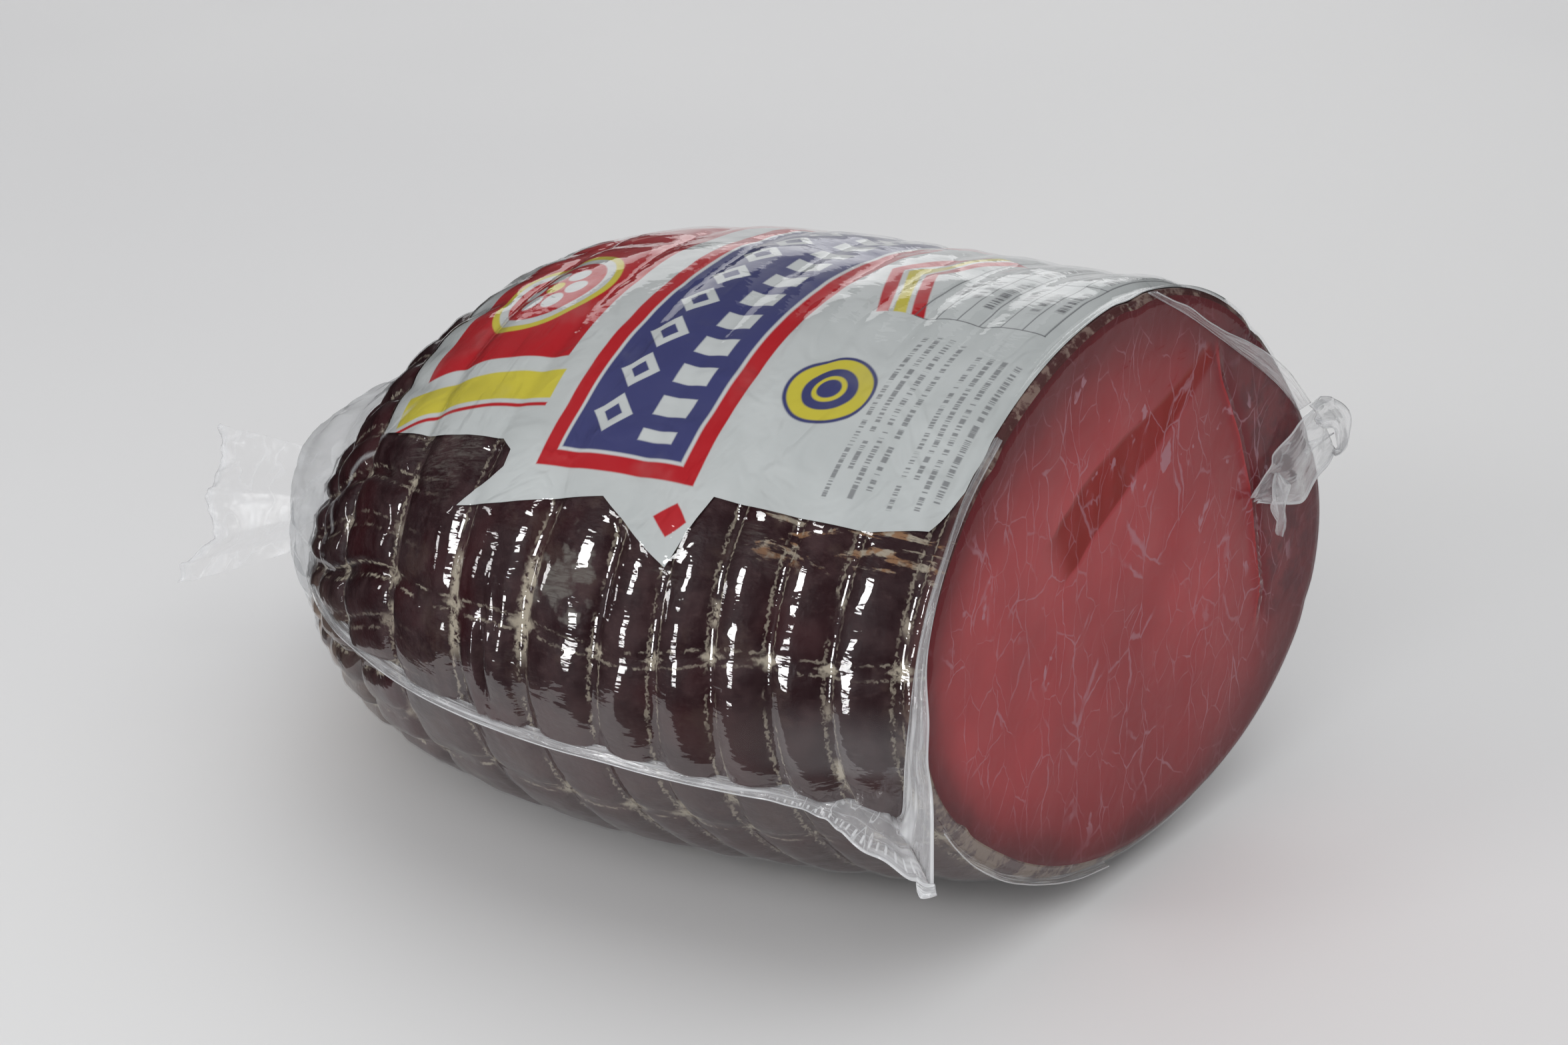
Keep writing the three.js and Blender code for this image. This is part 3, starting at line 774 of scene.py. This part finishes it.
# Places along the body, closer together towards the end, and round it: from the bottom over the
# far side, the top and the near side
end_shares = np.linspace(0, 1, END_STEPS + 1)
alongs = np.concatenate([np.arange(0.0, CLOSER_FROM, ALONG_STEP),
                         CLOSER_FROM + (LENGTH - CLOSER_FROM) * (1 - (1 - end_shares) ** 1.8)])
angles = np.concatenate([np.arange(-90, 60, FAR_STEP), np.arange(60, 235, NEAR_STEP),
                         np.arange(235, 270, FAR_STEP)])
body_along, body_angle = np.meshgrid(alongs, angles, indexing="ij")
wrapped = np.append(np.arange(len(angles)), 0)


def rind():
    points = skin(body_along, body_angle, -rim_inset(body_along, body_angle))
    points[-1] = points[-1].mean(axis=0)
    a, t = np.meshgrid(alongs, np.append(angles, angles[0] + 360), indexing="ij")
    row, spacing = net_row(a, t)
    column, strength = net_column(a, t)
    return ring_object("rind", points, rind_material(), {
        "Plan": (a, arc_length(a, t)), "Net": (row, column), "Pitch": (spacing, strength)})


def face_grid(grow, waves):
    """Points of the cut face or of its film, from the middle to the rim, and their shares of
    that way."""
    shares, _ = np.meshgrid(np.linspace(0, 1, FACE_ROWS), angles, indexing="ij")
    rim = skin(0.0, angles, grow - fillet(angles))
    middle = np.array([0, rim[:, 1].mean(), rim[:, 2].mean()])
    points = middle + shares[..., None] * (rim - middle)
    points[..., 0] = waves(points[..., 1], points[..., 2], shares)
    return points, shares


def to_line(x, y, path):
    """Distance to a broken line, with a sign for its side, and the share of its length there."""
    best, side, place = np.full(x.shape, 1e9), np.ones(x.shape), np.zeros(x.shape)
    corners = np.array(path, float)
    lengths = np.linalg.norm(np.diff(corners, axis=0), axis=1)
    done = np.concatenate([[0], np.cumsum(lengths)]) / lengths.sum()
    for i, (a, b) in enumerate(zip(corners, corners[1:])):
        edge = b - a
        t = np.clip(((x - a[0]) * edge[0] + (y - a[1]) * edge[1]) / (edge @ edge), 0, 1)
        dx, dy = x - a[0] - t * edge[0], y - a[1] - t * edge[1]
        far = np.hypot(dx, dy)
        closer = far < best
        side = np.where(closer, np.sign(edge[0] * dy - edge[1] * dx), side)
        place = np.where(closer, done[i] + t * (done[i + 1] - done[i]), place)
        best = np.minimum(best, far)
    return best * side, place


def face_relief(y, z, share):
    """The cut face's own waves, and the fold of film and meat near its far edge."""
    flat = np.stack([0 * y, y, z], -1)
    rolls = 0.35 * noise(flat, (9, 26, 40), 11) + 0.15 * noise(flat, (9, 9, 14), 12)
    far, place = to_line(y, z, CREASE)
    ends = smooth(place, 0, 0.2) * smooth(1 - place, 0, 0.15)
    fold = 1.1 * np.exp(-((far + 0.6) / 0.9) ** 2) - 1.0 * np.exp(-((far - 1.2) / 1.3) ** 2)
    return (rolls + fold * ends) * (1 - share ** 8)


def wet_map(points):
    """1 on the band where the film is drawn away and the meat looks darker and redder."""
    y, z = points[:, wrapped, 1], points[:, wrapped, 2]
    to_band, place = to_line(y, z, WET_BAND)
    uneven = 0.8 * noise(np.stack([0 * y, y, z], -1), 5, 61)
    edge = 2.2 + 4.0 * smooth(place, 0, 0.8) + uneven * place - np.abs(to_band)
    wet = smooth(edge, -0.3, 0.4) * smooth(1 - place, 0, 0.12) * smooth(place, 0, 0.03)
    return wet, place


def cut_face():
    points, shares = face_grid(0.0, face_relief)
    depth = (1 - shares[:, wrapped]) * FACE_REACH
    turn = np.radians(np.append(angles, angles[0] + 360))
    dark = 8.5 + 4.5 * np.cos(turn - math.radians(50)) + 0.8 * np.cos(3 * turn)
    to_fold, place = to_line(points[:, wrapped, 1], points[:, wrapped, 2], CREASE)
    by_fold = smooth(place, 0, 0.08) * smooth(1 - place, 0, 0.08)
    return ring_object("cut_face", points, face_material(), {
        "Rim": (depth, dark), "Fold": (to_fold, by_fold), "Wet": wet_map(points)})


def label_hold(along):
    """The shares of the grooves that the label follows and bridges; by the rim it lies close."""
    free = smooth(along, 2, 8)
    return 1 - (1 - LABEL_GROOVES) * free, LABEL_BRIDGED * free


def over_label(along, angle):
    """1 on the label, 0 off it, with a soft edge."""
    place = np.stack([along, angle * MM_PER_DEGREE], -1)
    x, y = place[..., 0], place[..., 1]
    corners = np.array(LABEL_OUTLINE, float) * (1, MM_PER_DEGREE)
    nearest = np.full(along.shape, 1e9)
    inside = np.zeros(along.shape, bool)
    for a, b in zip(corners, np.roll(corners, -1, axis=0)):
        edge = b - a
        t = np.clip(((place - a) @ edge) / (edge @ edge), 0, 1)
        nearest = np.minimum(nearest, np.linalg.norm(place - a - t[..., None] * edge, axis=-1))
        crosses = (a[1] > y) != (b[1] > y)
        inside ^= crosses & (x < edge[0] * (y - a[1]) / (edge[1] or 1) + a[0])
    return smooth(np.where(inside, nearest, -nearest), -3.0, 0)


def label():
    """The label's outline cut out of a plane of places, sliced finely and laid on the body."""
    bm = bmesh.new()
    bm.faces.new([bm.verts.new((a, t, 0)) for a, t in LABEL_OUTLINE])
    cuts = [((x, 0, 0), (1, 0, 0)) for x in np.arange(1.5, 135, LABEL_STEP)]
    cuts += [((0, y, 0), (0, 1, 0)) for y in np.arange(22, 158, LABEL_STEP)]
    for place, normal in cuts:
        bmesh.ops.bisect_plane(bm, geom=[*bm.verts, *bm.edges, *bm.faces],
                               plane_co=place, plane_no=normal)
    bmesh.ops.remove_doubles(bm, verts=bm.verts, dist=1e-4)
    bm.verts.index_update()
    along, angle = np.array([v.co[:2] for v in bm.verts]).T
    faces = [[v.index for v in f.verts] for f in bm.faces]
    bm.free()
    grooves, bridged = label_hold(along)
    laid = skin(along, angle, LABEL_GROW, grooves, wide=FILM_WIDENS, bridged=bridged)
    plan = np.stack([along, arc_length(along[:, None], angle[:, None])[:, 0]], -1)
    corners = np.concatenate([plan[f] for f in faces])
    return mesh_object("label", to_row(laid), faces, label_material(), {"Plan": corners})


def film_lift(along, angle):
    """How far the film stands off the meat round the rounded end."""
    near = smooth(np.cos(np.radians(angle - 190)), 0.2, 0.9)
    start = 0.78 + 0.11 * near
    return (3.2 + 0.6 * near) * smooth(along / LENGTH, start, start + 0.15)


def tight_film():
    """The film that lies on the meat and the label, and stands off the rounded end."""
    a, t = body_along, body_angle
    label_share = over_label(a, t)
    lift = film_lift(a, t)
    grow = FILM_GROW + (LABEL_GROW + FILM_OVER_LABEL) * label_share + lift - rim_inset(a, t)
    grooves, bridged = label_hold(a)
    kept = FILM_GROOVES + (grooves - FILM_GROOVES) * label_share
    points = skin(a, t, grow, kept * (1 - 0.8 * smooth(lift, 0, 3)), wide=FILM_WIDENS,
                  bridged=bridged * label_share)
    points[..., 0] *= 1 + 0.055 * smooth(a, 165, 198)
    tip = points[-1].mean(axis=0) - (1.2, 0, 0)
    cap = [tip + r * (points[-1] - tip) for r in (0.75, 0.4, 0)]
    points = np.concatenate([points, np.array(cap)])

    # Milkier where the film stands off and on the creases; by the seam's end a milky patch is
    # painted reflection of the floor
    milk_and_reflection = smooth(lift, 0.5, 4) * 0.5
    by_seam = smooth(t, 176, 186) * smooth(194 - t, 0, 4) * smooth(40 - a, 0, 30)
    milk_and_reflection = np.maximum(milk_and_reflection, 0.25 * by_seam)
    for path in TAIL_CREASES:
        far, place = to_line(a, t * MM_PER_DEGREE, np.array(path) * (1, MM_PER_DEGREE))
        crease = (1 - smooth(np.abs(far), 0.2, 1.0)) * smooth(place, 0, 0.1)
        milk_and_reflection = np.maximum(milk_and_reflection, crease)
    maps = [np.pad(grid[:, wrapped], ((0, len(cap)), (0, 0))) for grid in (label_share, milk_and_reflection)]
    return ring_object("bag_film", points, tight_film_material("clear_film", True), {"Over": maps})


def face_film():
    """The film drawn tight over the cut face."""
    def waves(y, z, share):
        return face_relief(y, z, share) * 1.2 + 0.6 * smooth(share, 1, 0.97)

    points, _ = face_grid(FILM_GROW, waves)
    return ring_object("face_film", points, tight_film_material("face_film", False),
                       {"Wet": wet_map(points)})


# Free film of the bag
def smooth_line(points, count):
    """Evenly spaced points on a smooth curve through the given ones."""
    p = np.array(points, float)
    padded = np.vstack([2 * p[0] - p[1], p, 2 * p[-1] - p[-2]])
    lengths = np.linalg.norm(np.diff(p, axis=0), axis=1)
    knots = np.concatenate([[0], np.cumsum(lengths)])
    at = np.linspace(0, knots[-1], count)
    i = np.clip(np.searchsorted(knots, at, side="right") - 1, 0, len(p) - 2)
    t = ((at - knots[i]) / lengths[i])[:, None]
    a, b, c, d = (padded[i + j] for j in range(4))
    return 0.5 * (2 * b + (c - a) * t + (2 * a - 5 * b + 4 * c - d) * t ** 2
                  + (3 * b - a - 3 * c + d) * t ** 3)


def normals(grid):
    across = np.cross(np.gradient(grid, axis=0), np.gradient(grid, axis=1))
    return across / np.maximum(np.linalg.norm(across, axis=-1, keepdims=True), 1e-9)


def sheet_object(name, grid, uv, material):
    """A thin closed sheet of film round a grid of points."""
    half_sheet = normals(grid) * SHEET / 2
    around = np.concatenate([grid + half_sheet, (grid - half_sheet)[:, ::-1]], axis=1)
    uvs = np.concatenate([uv, uv[:, ::-1]], axis=1)
    rows, columns = around.shape[:2]
    faces, corners = grid_faces(rows, columns, closed=True)
    flat_uv = [np.stack([uvs[r, c % columns] for r, c in corners], 1).reshape(-1, 2)]
    faces = faces.tolist()
    for row in (0, rows - 1):
        for c in range(columns // 2 - 1):
            ids = [row * columns + c, row * columns + c + 1,
                   row * columns + columns - 2 - c, row * columns + columns - 1 - c]
            ids = ids if row == 0 else ids[::-1]
            faces.append(ids)
            flat_uv.append(uvs.reshape(-1, 2)[ids])
    return mesh_object(name, to_row(around.reshape(-1, 3)), faces, material,
                       {"Film": np.concatenate(flat_uv)})


def ribbon(name, pairs, steps, columns, ripple, *look, **more_look):
    """A strip of film between an inner and an outer edge, rippled along its normal. The rest says
    how its material looks."""
    lines = smooth_line(np.array(pairs, float).reshape(len(pairs), 6), steps)
    inner, outer = lines[:, None, :3], lines[:, None, 3:]
    across = np.linspace(0, 1, columns)[None, :, None]
    grid = inner * (1 - across) + outer * across
    gaps = np.linalg.norm(np.diff(grid.mean(axis=1), axis=0), axis=1)
    u, v = np.meshgrid(np.concatenate([[0], np.cumsum(gaps)]), across.ravel(), indexing="ij")
    grid = grid + normals(grid) * ripple(u, v)[..., None]
    return sheet_object(name, grid, np.stack([u, v], -1), free_film_material(*look, **more_look))


def outer_wave(size, length, seed):
    """A ripple that grows towards the outer edge."""
    return lambda u, v: size * v * noise_at(u, 0 * u, length, seed)


def seam_pairs(heights, side, start, width):
    """Inner and outer edge of a welded side seam, at heights for the face, middle and end."""
    pairs = []
    start_height, middle_height, end_height = heights
    for along in np.linspace(start, SEAM_END, 18):
        height = np.interp(along / LENGTH, [0, 0.3, 0.65, 1],
                           [start_height, middle_height, middle_height, end_height])
        pairs.append((skin_at_height(along, height, side, -0.6),
                      skin_at_height(along, height - SEAM_DROOP, side, width)))
    return pairs


def ear_apex():
    return skin_at_height(0.045 * LENGTH, 38, -1, -1)


def near_web():
    """Film that bridges the rim of the cut face, down to the ear."""
    pairs = []
    for height in (104, 96):
        rim = skin_at_height(0.4, height, -1, 0.5)
        pairs.append((rim - (0.8, 0, 0), rim + (0.6, 0, 0)))
    for height, back, out, forward in (
            (88, 0.3, 1.0, 0.8), (80, 0.5, 1.3, 1.2), (71, 0.9, 1.7, 1.9), (62, 1.5, 2.4, 3.6),
            (54, 3.0, 2.2, 2.8), (46, 6.0, 3.0, 2.6)):
        rim = skin_at_height(0, height, -1, out)
        rim[0] = forward
        pairs.append((skin_at_height(back, height - back, -1, 0.4), rim))
    pairs.append((ear_apex(), EAR_TIP))

    def folds(u, v):
        size = 1.1 * noise_at(u, v * 30, (30, 7, 9), 31) + 0.3 * noise_at(u, v * 30, (16, 3, 9), 32)
        return size * np.sin(np.pi * v) ** 0.5

    return ribbon("near_web", pairs, 70, 18, folds, "web_film", 0.26, 0.40, clear_until=80,
                  shiny=0.3)


def near_seam():
    """The welded edge along the near side, which spreads into the pointed ear."""
    pairs = [(ear_apex(), EAR_TIP)]
    for share, height, grow in ((0.05, 38.5, 8.4), (0.09, 39.5, 3.6), (0.13, 40.8, 2.6)):
        pairs.append((skin_at_height(share * LENGTH, height + 1.5, -1, -1),
                      skin_at_height(share * LENGTH, height, -1, grow)))
    pairs += seam_pairs(NEAR_SEAM_HEIGHTS, -1, 34, 2.0)

    def ribs(u, v):
        ear = smooth(u, 34, 14)
        weld = 0.3 * np.exp(-((v - 0.45) / 0.16) ** 2) - 0.25 * np.exp(-((v - 0.8) / 0.12) ** 2)
        spread = 0.75 * v * np.sin(u * 1.15 + 0.9 * np.sin(u * 0.37)) * ear
        return weld * (1 - ear) + spread + outer_wave(0.45, 9, 33)(u, v)

    return ribbon("near_seam", pairs, 330, 16, ribs, "seam_film", 0.21, 0.4, ear_end=34)


def ear_tab():
    """The small crumpled end of the ear."""
    tip = np.array(EAR_TIP)
    pairs = [(tip + a, tip + b) for a, b in (
        ((-3.8, 0.3, 2.0), (-2.9, -0.4, -0.4)), ((-1.4, 0, 1.6), (-1.6, -0.9, -1.2)),
        ((0.3, 0, 1.9), (1.2, -0.6, 0.1)))]
    return ribbon("ear_tab", pairs, 24, 14,
                  lambda u, v: 0.5 * noise_at(u, v * 3, (1.6, 1.4, 1), 37), "tab_film", 0.35, 0.4)


def far_seam():
    pairs = [((0.9, 66, 68), (1.2, 77, 69)), *seam_pairs(FAR_SEAM_HEIGHTS, 1, 6, 4.0)]
    return ribbon("far_seam", pairs, 200, 12, outer_wave(0.5, 9, 34), "far_seam_film", 0.20, 0.5)


def low_lip():
    """Low edge of film along the bottom of the cut face."""
    start, end = 206, 264
    pairs = []
    for angle in np.linspace(start, end, 11):
        reach = 1.5 - 0.9 * (angle - start) / (end - start)
        inner, outer = skin(0, angle, -0.6, uneven=0), skin(0, angle, reach, uneven=0)
        inner[0], outer[0] = -1.5, 0.6
        pairs.append((inner, outer))
    return ribbon("low_lip", pairs, 90, 10,
                  lambda u, v: 0.35 * noise_at(u, v * 8, (7, 5, 5), 35),
                  "lip_film", 0.05, 0.15, 0.45)


def top_ridge():
    """The film's edge across the top of the cut face, which widens into a band on its way down
    to the folded corner."""
    inner = [(-0.7, 118.6), (14.9, 110.1), (24.6, 104.2), (37.9, 95.8), (51.8, 86.5), (61.6, 78.2)]
    outer = [(-0.7, 119.2), (14.8, 111.2), (24.5, 105.2), (37.6, 98.8), (51.4, 90.4), (63.1, 80.0)]
    pairs = [((0.6, *a), (2.5, *b)) for a, b in zip(inner, outer)]
    return ribbon("top_ridge", pairs, 120, 10, outer_wave(0.3, 7, 36),
                  "ridge_film", 0.07, 0.25, 0.6)


def tail_fan():
    """The gathered end of the bag: a pleated fan with a ragged edge."""
    root, end = np.array((-203.0, 4, 32.5)), np.array((-233.0, -6, 28.0))
    turn = math.radians(50)
    across = np.array((0, math.cos(turn), math.sin(turn)))
    rise = np.array((0, -across[2], across[1]))
    along, place = np.meshgrid(np.linspace(0, 1, FAN_STEPS[0]), np.linspace(-1, 1, FAN_STEPS[1]),
                               indexing="ij")
    half = 8.5 + 10 * along ** 0.7
    x, y = along * 40, place * 22
    folds = 1 - 2 * np.abs(np.mod(place * 1.1 + 0.25 + 0.1 * along, 1) * 2 - 1)
    crumple = 1.6 * noise_at(x, y, (5, 3, 4), 51) + 0.7 * noise_at(x, y, (2, 1.5, 4), 53)
    pleat = 2.0 * along * folds + smooth(along, 0.75, 0.98) * crumple
    ragged = along * (3.2 * place + 2.4 * np.sin(place * 3.2 - 0.6)
                      + 1.0 * noise_at(x, y, (90, 3.0, 4), 52))
    grid = root + along[..., None] * (end - root) + across * (half * place)[..., None]
    grid = grid + rise * pleat[..., None] - np.array((1, 0, 0)) * ragged[..., None]
    material = free_film_material("fan_film", 0.015, 0.15, 0.30, shiny=0.08, rough=0.2)
    return sheet_object("tail_fan", grid, np.stack([place * 25, along], -1), material)


def folded_corner(i):
    """The far corner of the bag, folded over the rim onto the cut face: a flap, a rolled edge
    and a small pointed flap."""
    outline, depth, lift = CORNER_SHEETS[i]
    pairs = [((depth, *a), (depth + lift, *b)) for a, b in outline]

    def crumple(u, v):
        ridged = 1 - np.abs(noise_at(u, v * 16, (7, 6, 6), 40 + i)) * 2
        return 0.8 * ridged + 0.25 * noise_at(u, v * 16, (3, 3, 3), 45 + i)

    return ribbon(f"folded_corner_{i}", pairs, 60, 30, crumple, f"corner_film_{i}", 0.17, 0.35, 0.6)


pieces = [(rind(), "cured_meat", "meat"), (cut_face(), "cured_meat", "meat"),
          (label(), "paper_label", "label")]
for make in (tight_film, face_film, near_web, near_seam, ear_tab, far_seam, low_lip, top_ridge,
             tail_fan):
    pieces.append((make(), "vacuum_bag", "film"))
pieces += [(folded_corner(i), "vacuum_bag", "film") for i in range(len(CORNER_SHEETS))]
for piece, node, slot_name in pieces:
    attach(piece, "root")
    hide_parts(node)

# Stage, light and camera
FACING = math.radians(35.1)
# The film mirrors only part of the floor: from these places across the camera's view, and this
# far to the front, which grows to the right
MIRRORED_LEFT, MIRRORED_RIGHT = -0.10, 0.50
MIRRORED_FRONT, MIRRORED_SLANT = 0.129, 0.18
STAGE_HALF_WIDTH, STAGE_FRONT, STAGE_TOP = 2.6, -0.9, 2.6
BEND_START, BEND_RADIUS = 0.9, 0.6


def stage_part(name, profile, left, right, material, mirrored):
    """A part of the pale sweep, from left to right across the camera's view. The profile is a
    row of (distance away from the camera, height); None is the mirrored part's front edge."""
    points = []
    for away, height in profile:
        for x in (left, right):
            reach = MIRRORED_FRONT + MIRRORED_SLANT * min(max(x, 0), MIRRORED_RIGHT)
            d = -reach if away is None else away
            points.append((x * math.cos(FACING) - d * math.sin(FACING),
                           x * math.sin(FACING) + d * math.cos(FACING), height))
    made = mesh_object(name, np.array(points), grid_faces(len(profile), 2)[0], material)
    made.visible_glossy = mirrored


def stage():
    """A pale floor that curves up behind the object. Only its middle is mirrored in the film, as
    in the photograph the film mirrors something dark to the front and to the sides."""
    s = Shader("sweep")
    tone = s.patches(s.place(), 3, 2, 0.5, 0.3, 0.7)
    colour = s.mix(tone, FLOOR_DARK, FLOOR_LIGHT)
    material = s.finish(s.surface(Base_Color=colour, Roughness=0.7))
    back = [(None, 0.0), (BEND_START, 0.0)]
    back += [(BEND_START + BEND_RADIUS * math.sin(t), BEND_RADIUS - BEND_RADIUS * math.cos(t))
             for t in np.radians(np.linspace(0, 90, 14)[1:])]
    back += [(BEND_START + BEND_RADIUS, STAGE_TOP)]
    edges = [-STAGE_HALF_WIDTH, MIRRORED_LEFT, 0.0, MIRRORED_RIGHT, STAGE_HALF_WIDTH]
    for i, (left, right) in enumerate(zip(edges, edges[1:])):
        stage_part(f"sweep_{i}", back, left, right, material, i in (1, 2))
        stage_part(f"floor_{i}", [(STAGE_FRONT, 0.0), (None, 0.0)], left, right, material, False)


def area_light(name, place, target, size, watts, mirrored):
    data = bpy.data.lights.new(name, "AREA")
    data.shape = "RECTANGLE"
    data.size, data.size_y = size
    data.energy = watts
    light = bpy.data.objects.new(name, data)
    light.location = place
    light.rotation_euler = (Vector(target) - Vector(place)).to_track_quat("-Z", "Y").to_euler()
    light.visible_glossy = mirrored
    bpy.context.scene.collection.objects.link(light)


stage()
# The two large lights aren't mirrored; the small ones at the front make the film's highlights,
# one of them from below the floor, where only the film shows it
area_light("key", (0.5, 0.1, 1.35), (0.05, 0.0, 0), (1.5, 1.5), 6, False)
area_light("fill", (0.65, -1.50, 0.9), (0, -0.3, 0.0), (1.4, 1.0), 12, False)
area_light("back", (-0.80, 1.10, 0.66), (0, 0, 0.08), (1.3, 0.5), 2.6, True)
for name, place, size, watts in (
        ("front_low", (-0.24, -1.08, 0.06), (0.26, 0.18), 1.7),
        ("front_under", (-0.26, -1.06, -0.20), (0.24, 0.12), 0.8),
        ("front_left", (-0.98, -0.60, 0.17), (0.14, 0.16), 0.45),
        ("front_high", (-0.27, -1.00, 0.52), (0.28, 0.19), 2.1)):
    area_light(name, place, (0, 0, 0.06), size, watts, True)

world = bpy.data.worlds.new("room")
world.use_nodes = True
world.node_tree.nodes["Background"].inputs[0].default_value = ROOM
world.cycles_visibility.glossy = False
bpy.context.scene.world = world
bpy.context.scene.view_settings.view_transform = "Standard"

# The photograph's camera, in the drawing frame
CAMERA_PLACE = (315.2, -562.9, 319.7)
CAMERA_BACK = (0.537, -0.764, 0.358)
camera_data = bpy.data.cameras.new("camera")
camera_data.lens = 85
camera_data.sensor_width = 36
camera_data.clip_start = 0.01
camera = bpy.data.objects.new("camera", camera_data)
camera.location = to_row(CAMERA_PLACE)
camera.rotation_euler = Vector(CAMERA_BACK).to_track_quat("Z", "Y").to_euler()
bpy.context.scene.collection.objects.link(camera)
bpy.context.scene.camera = camera

bpy.context.view_layer.update()
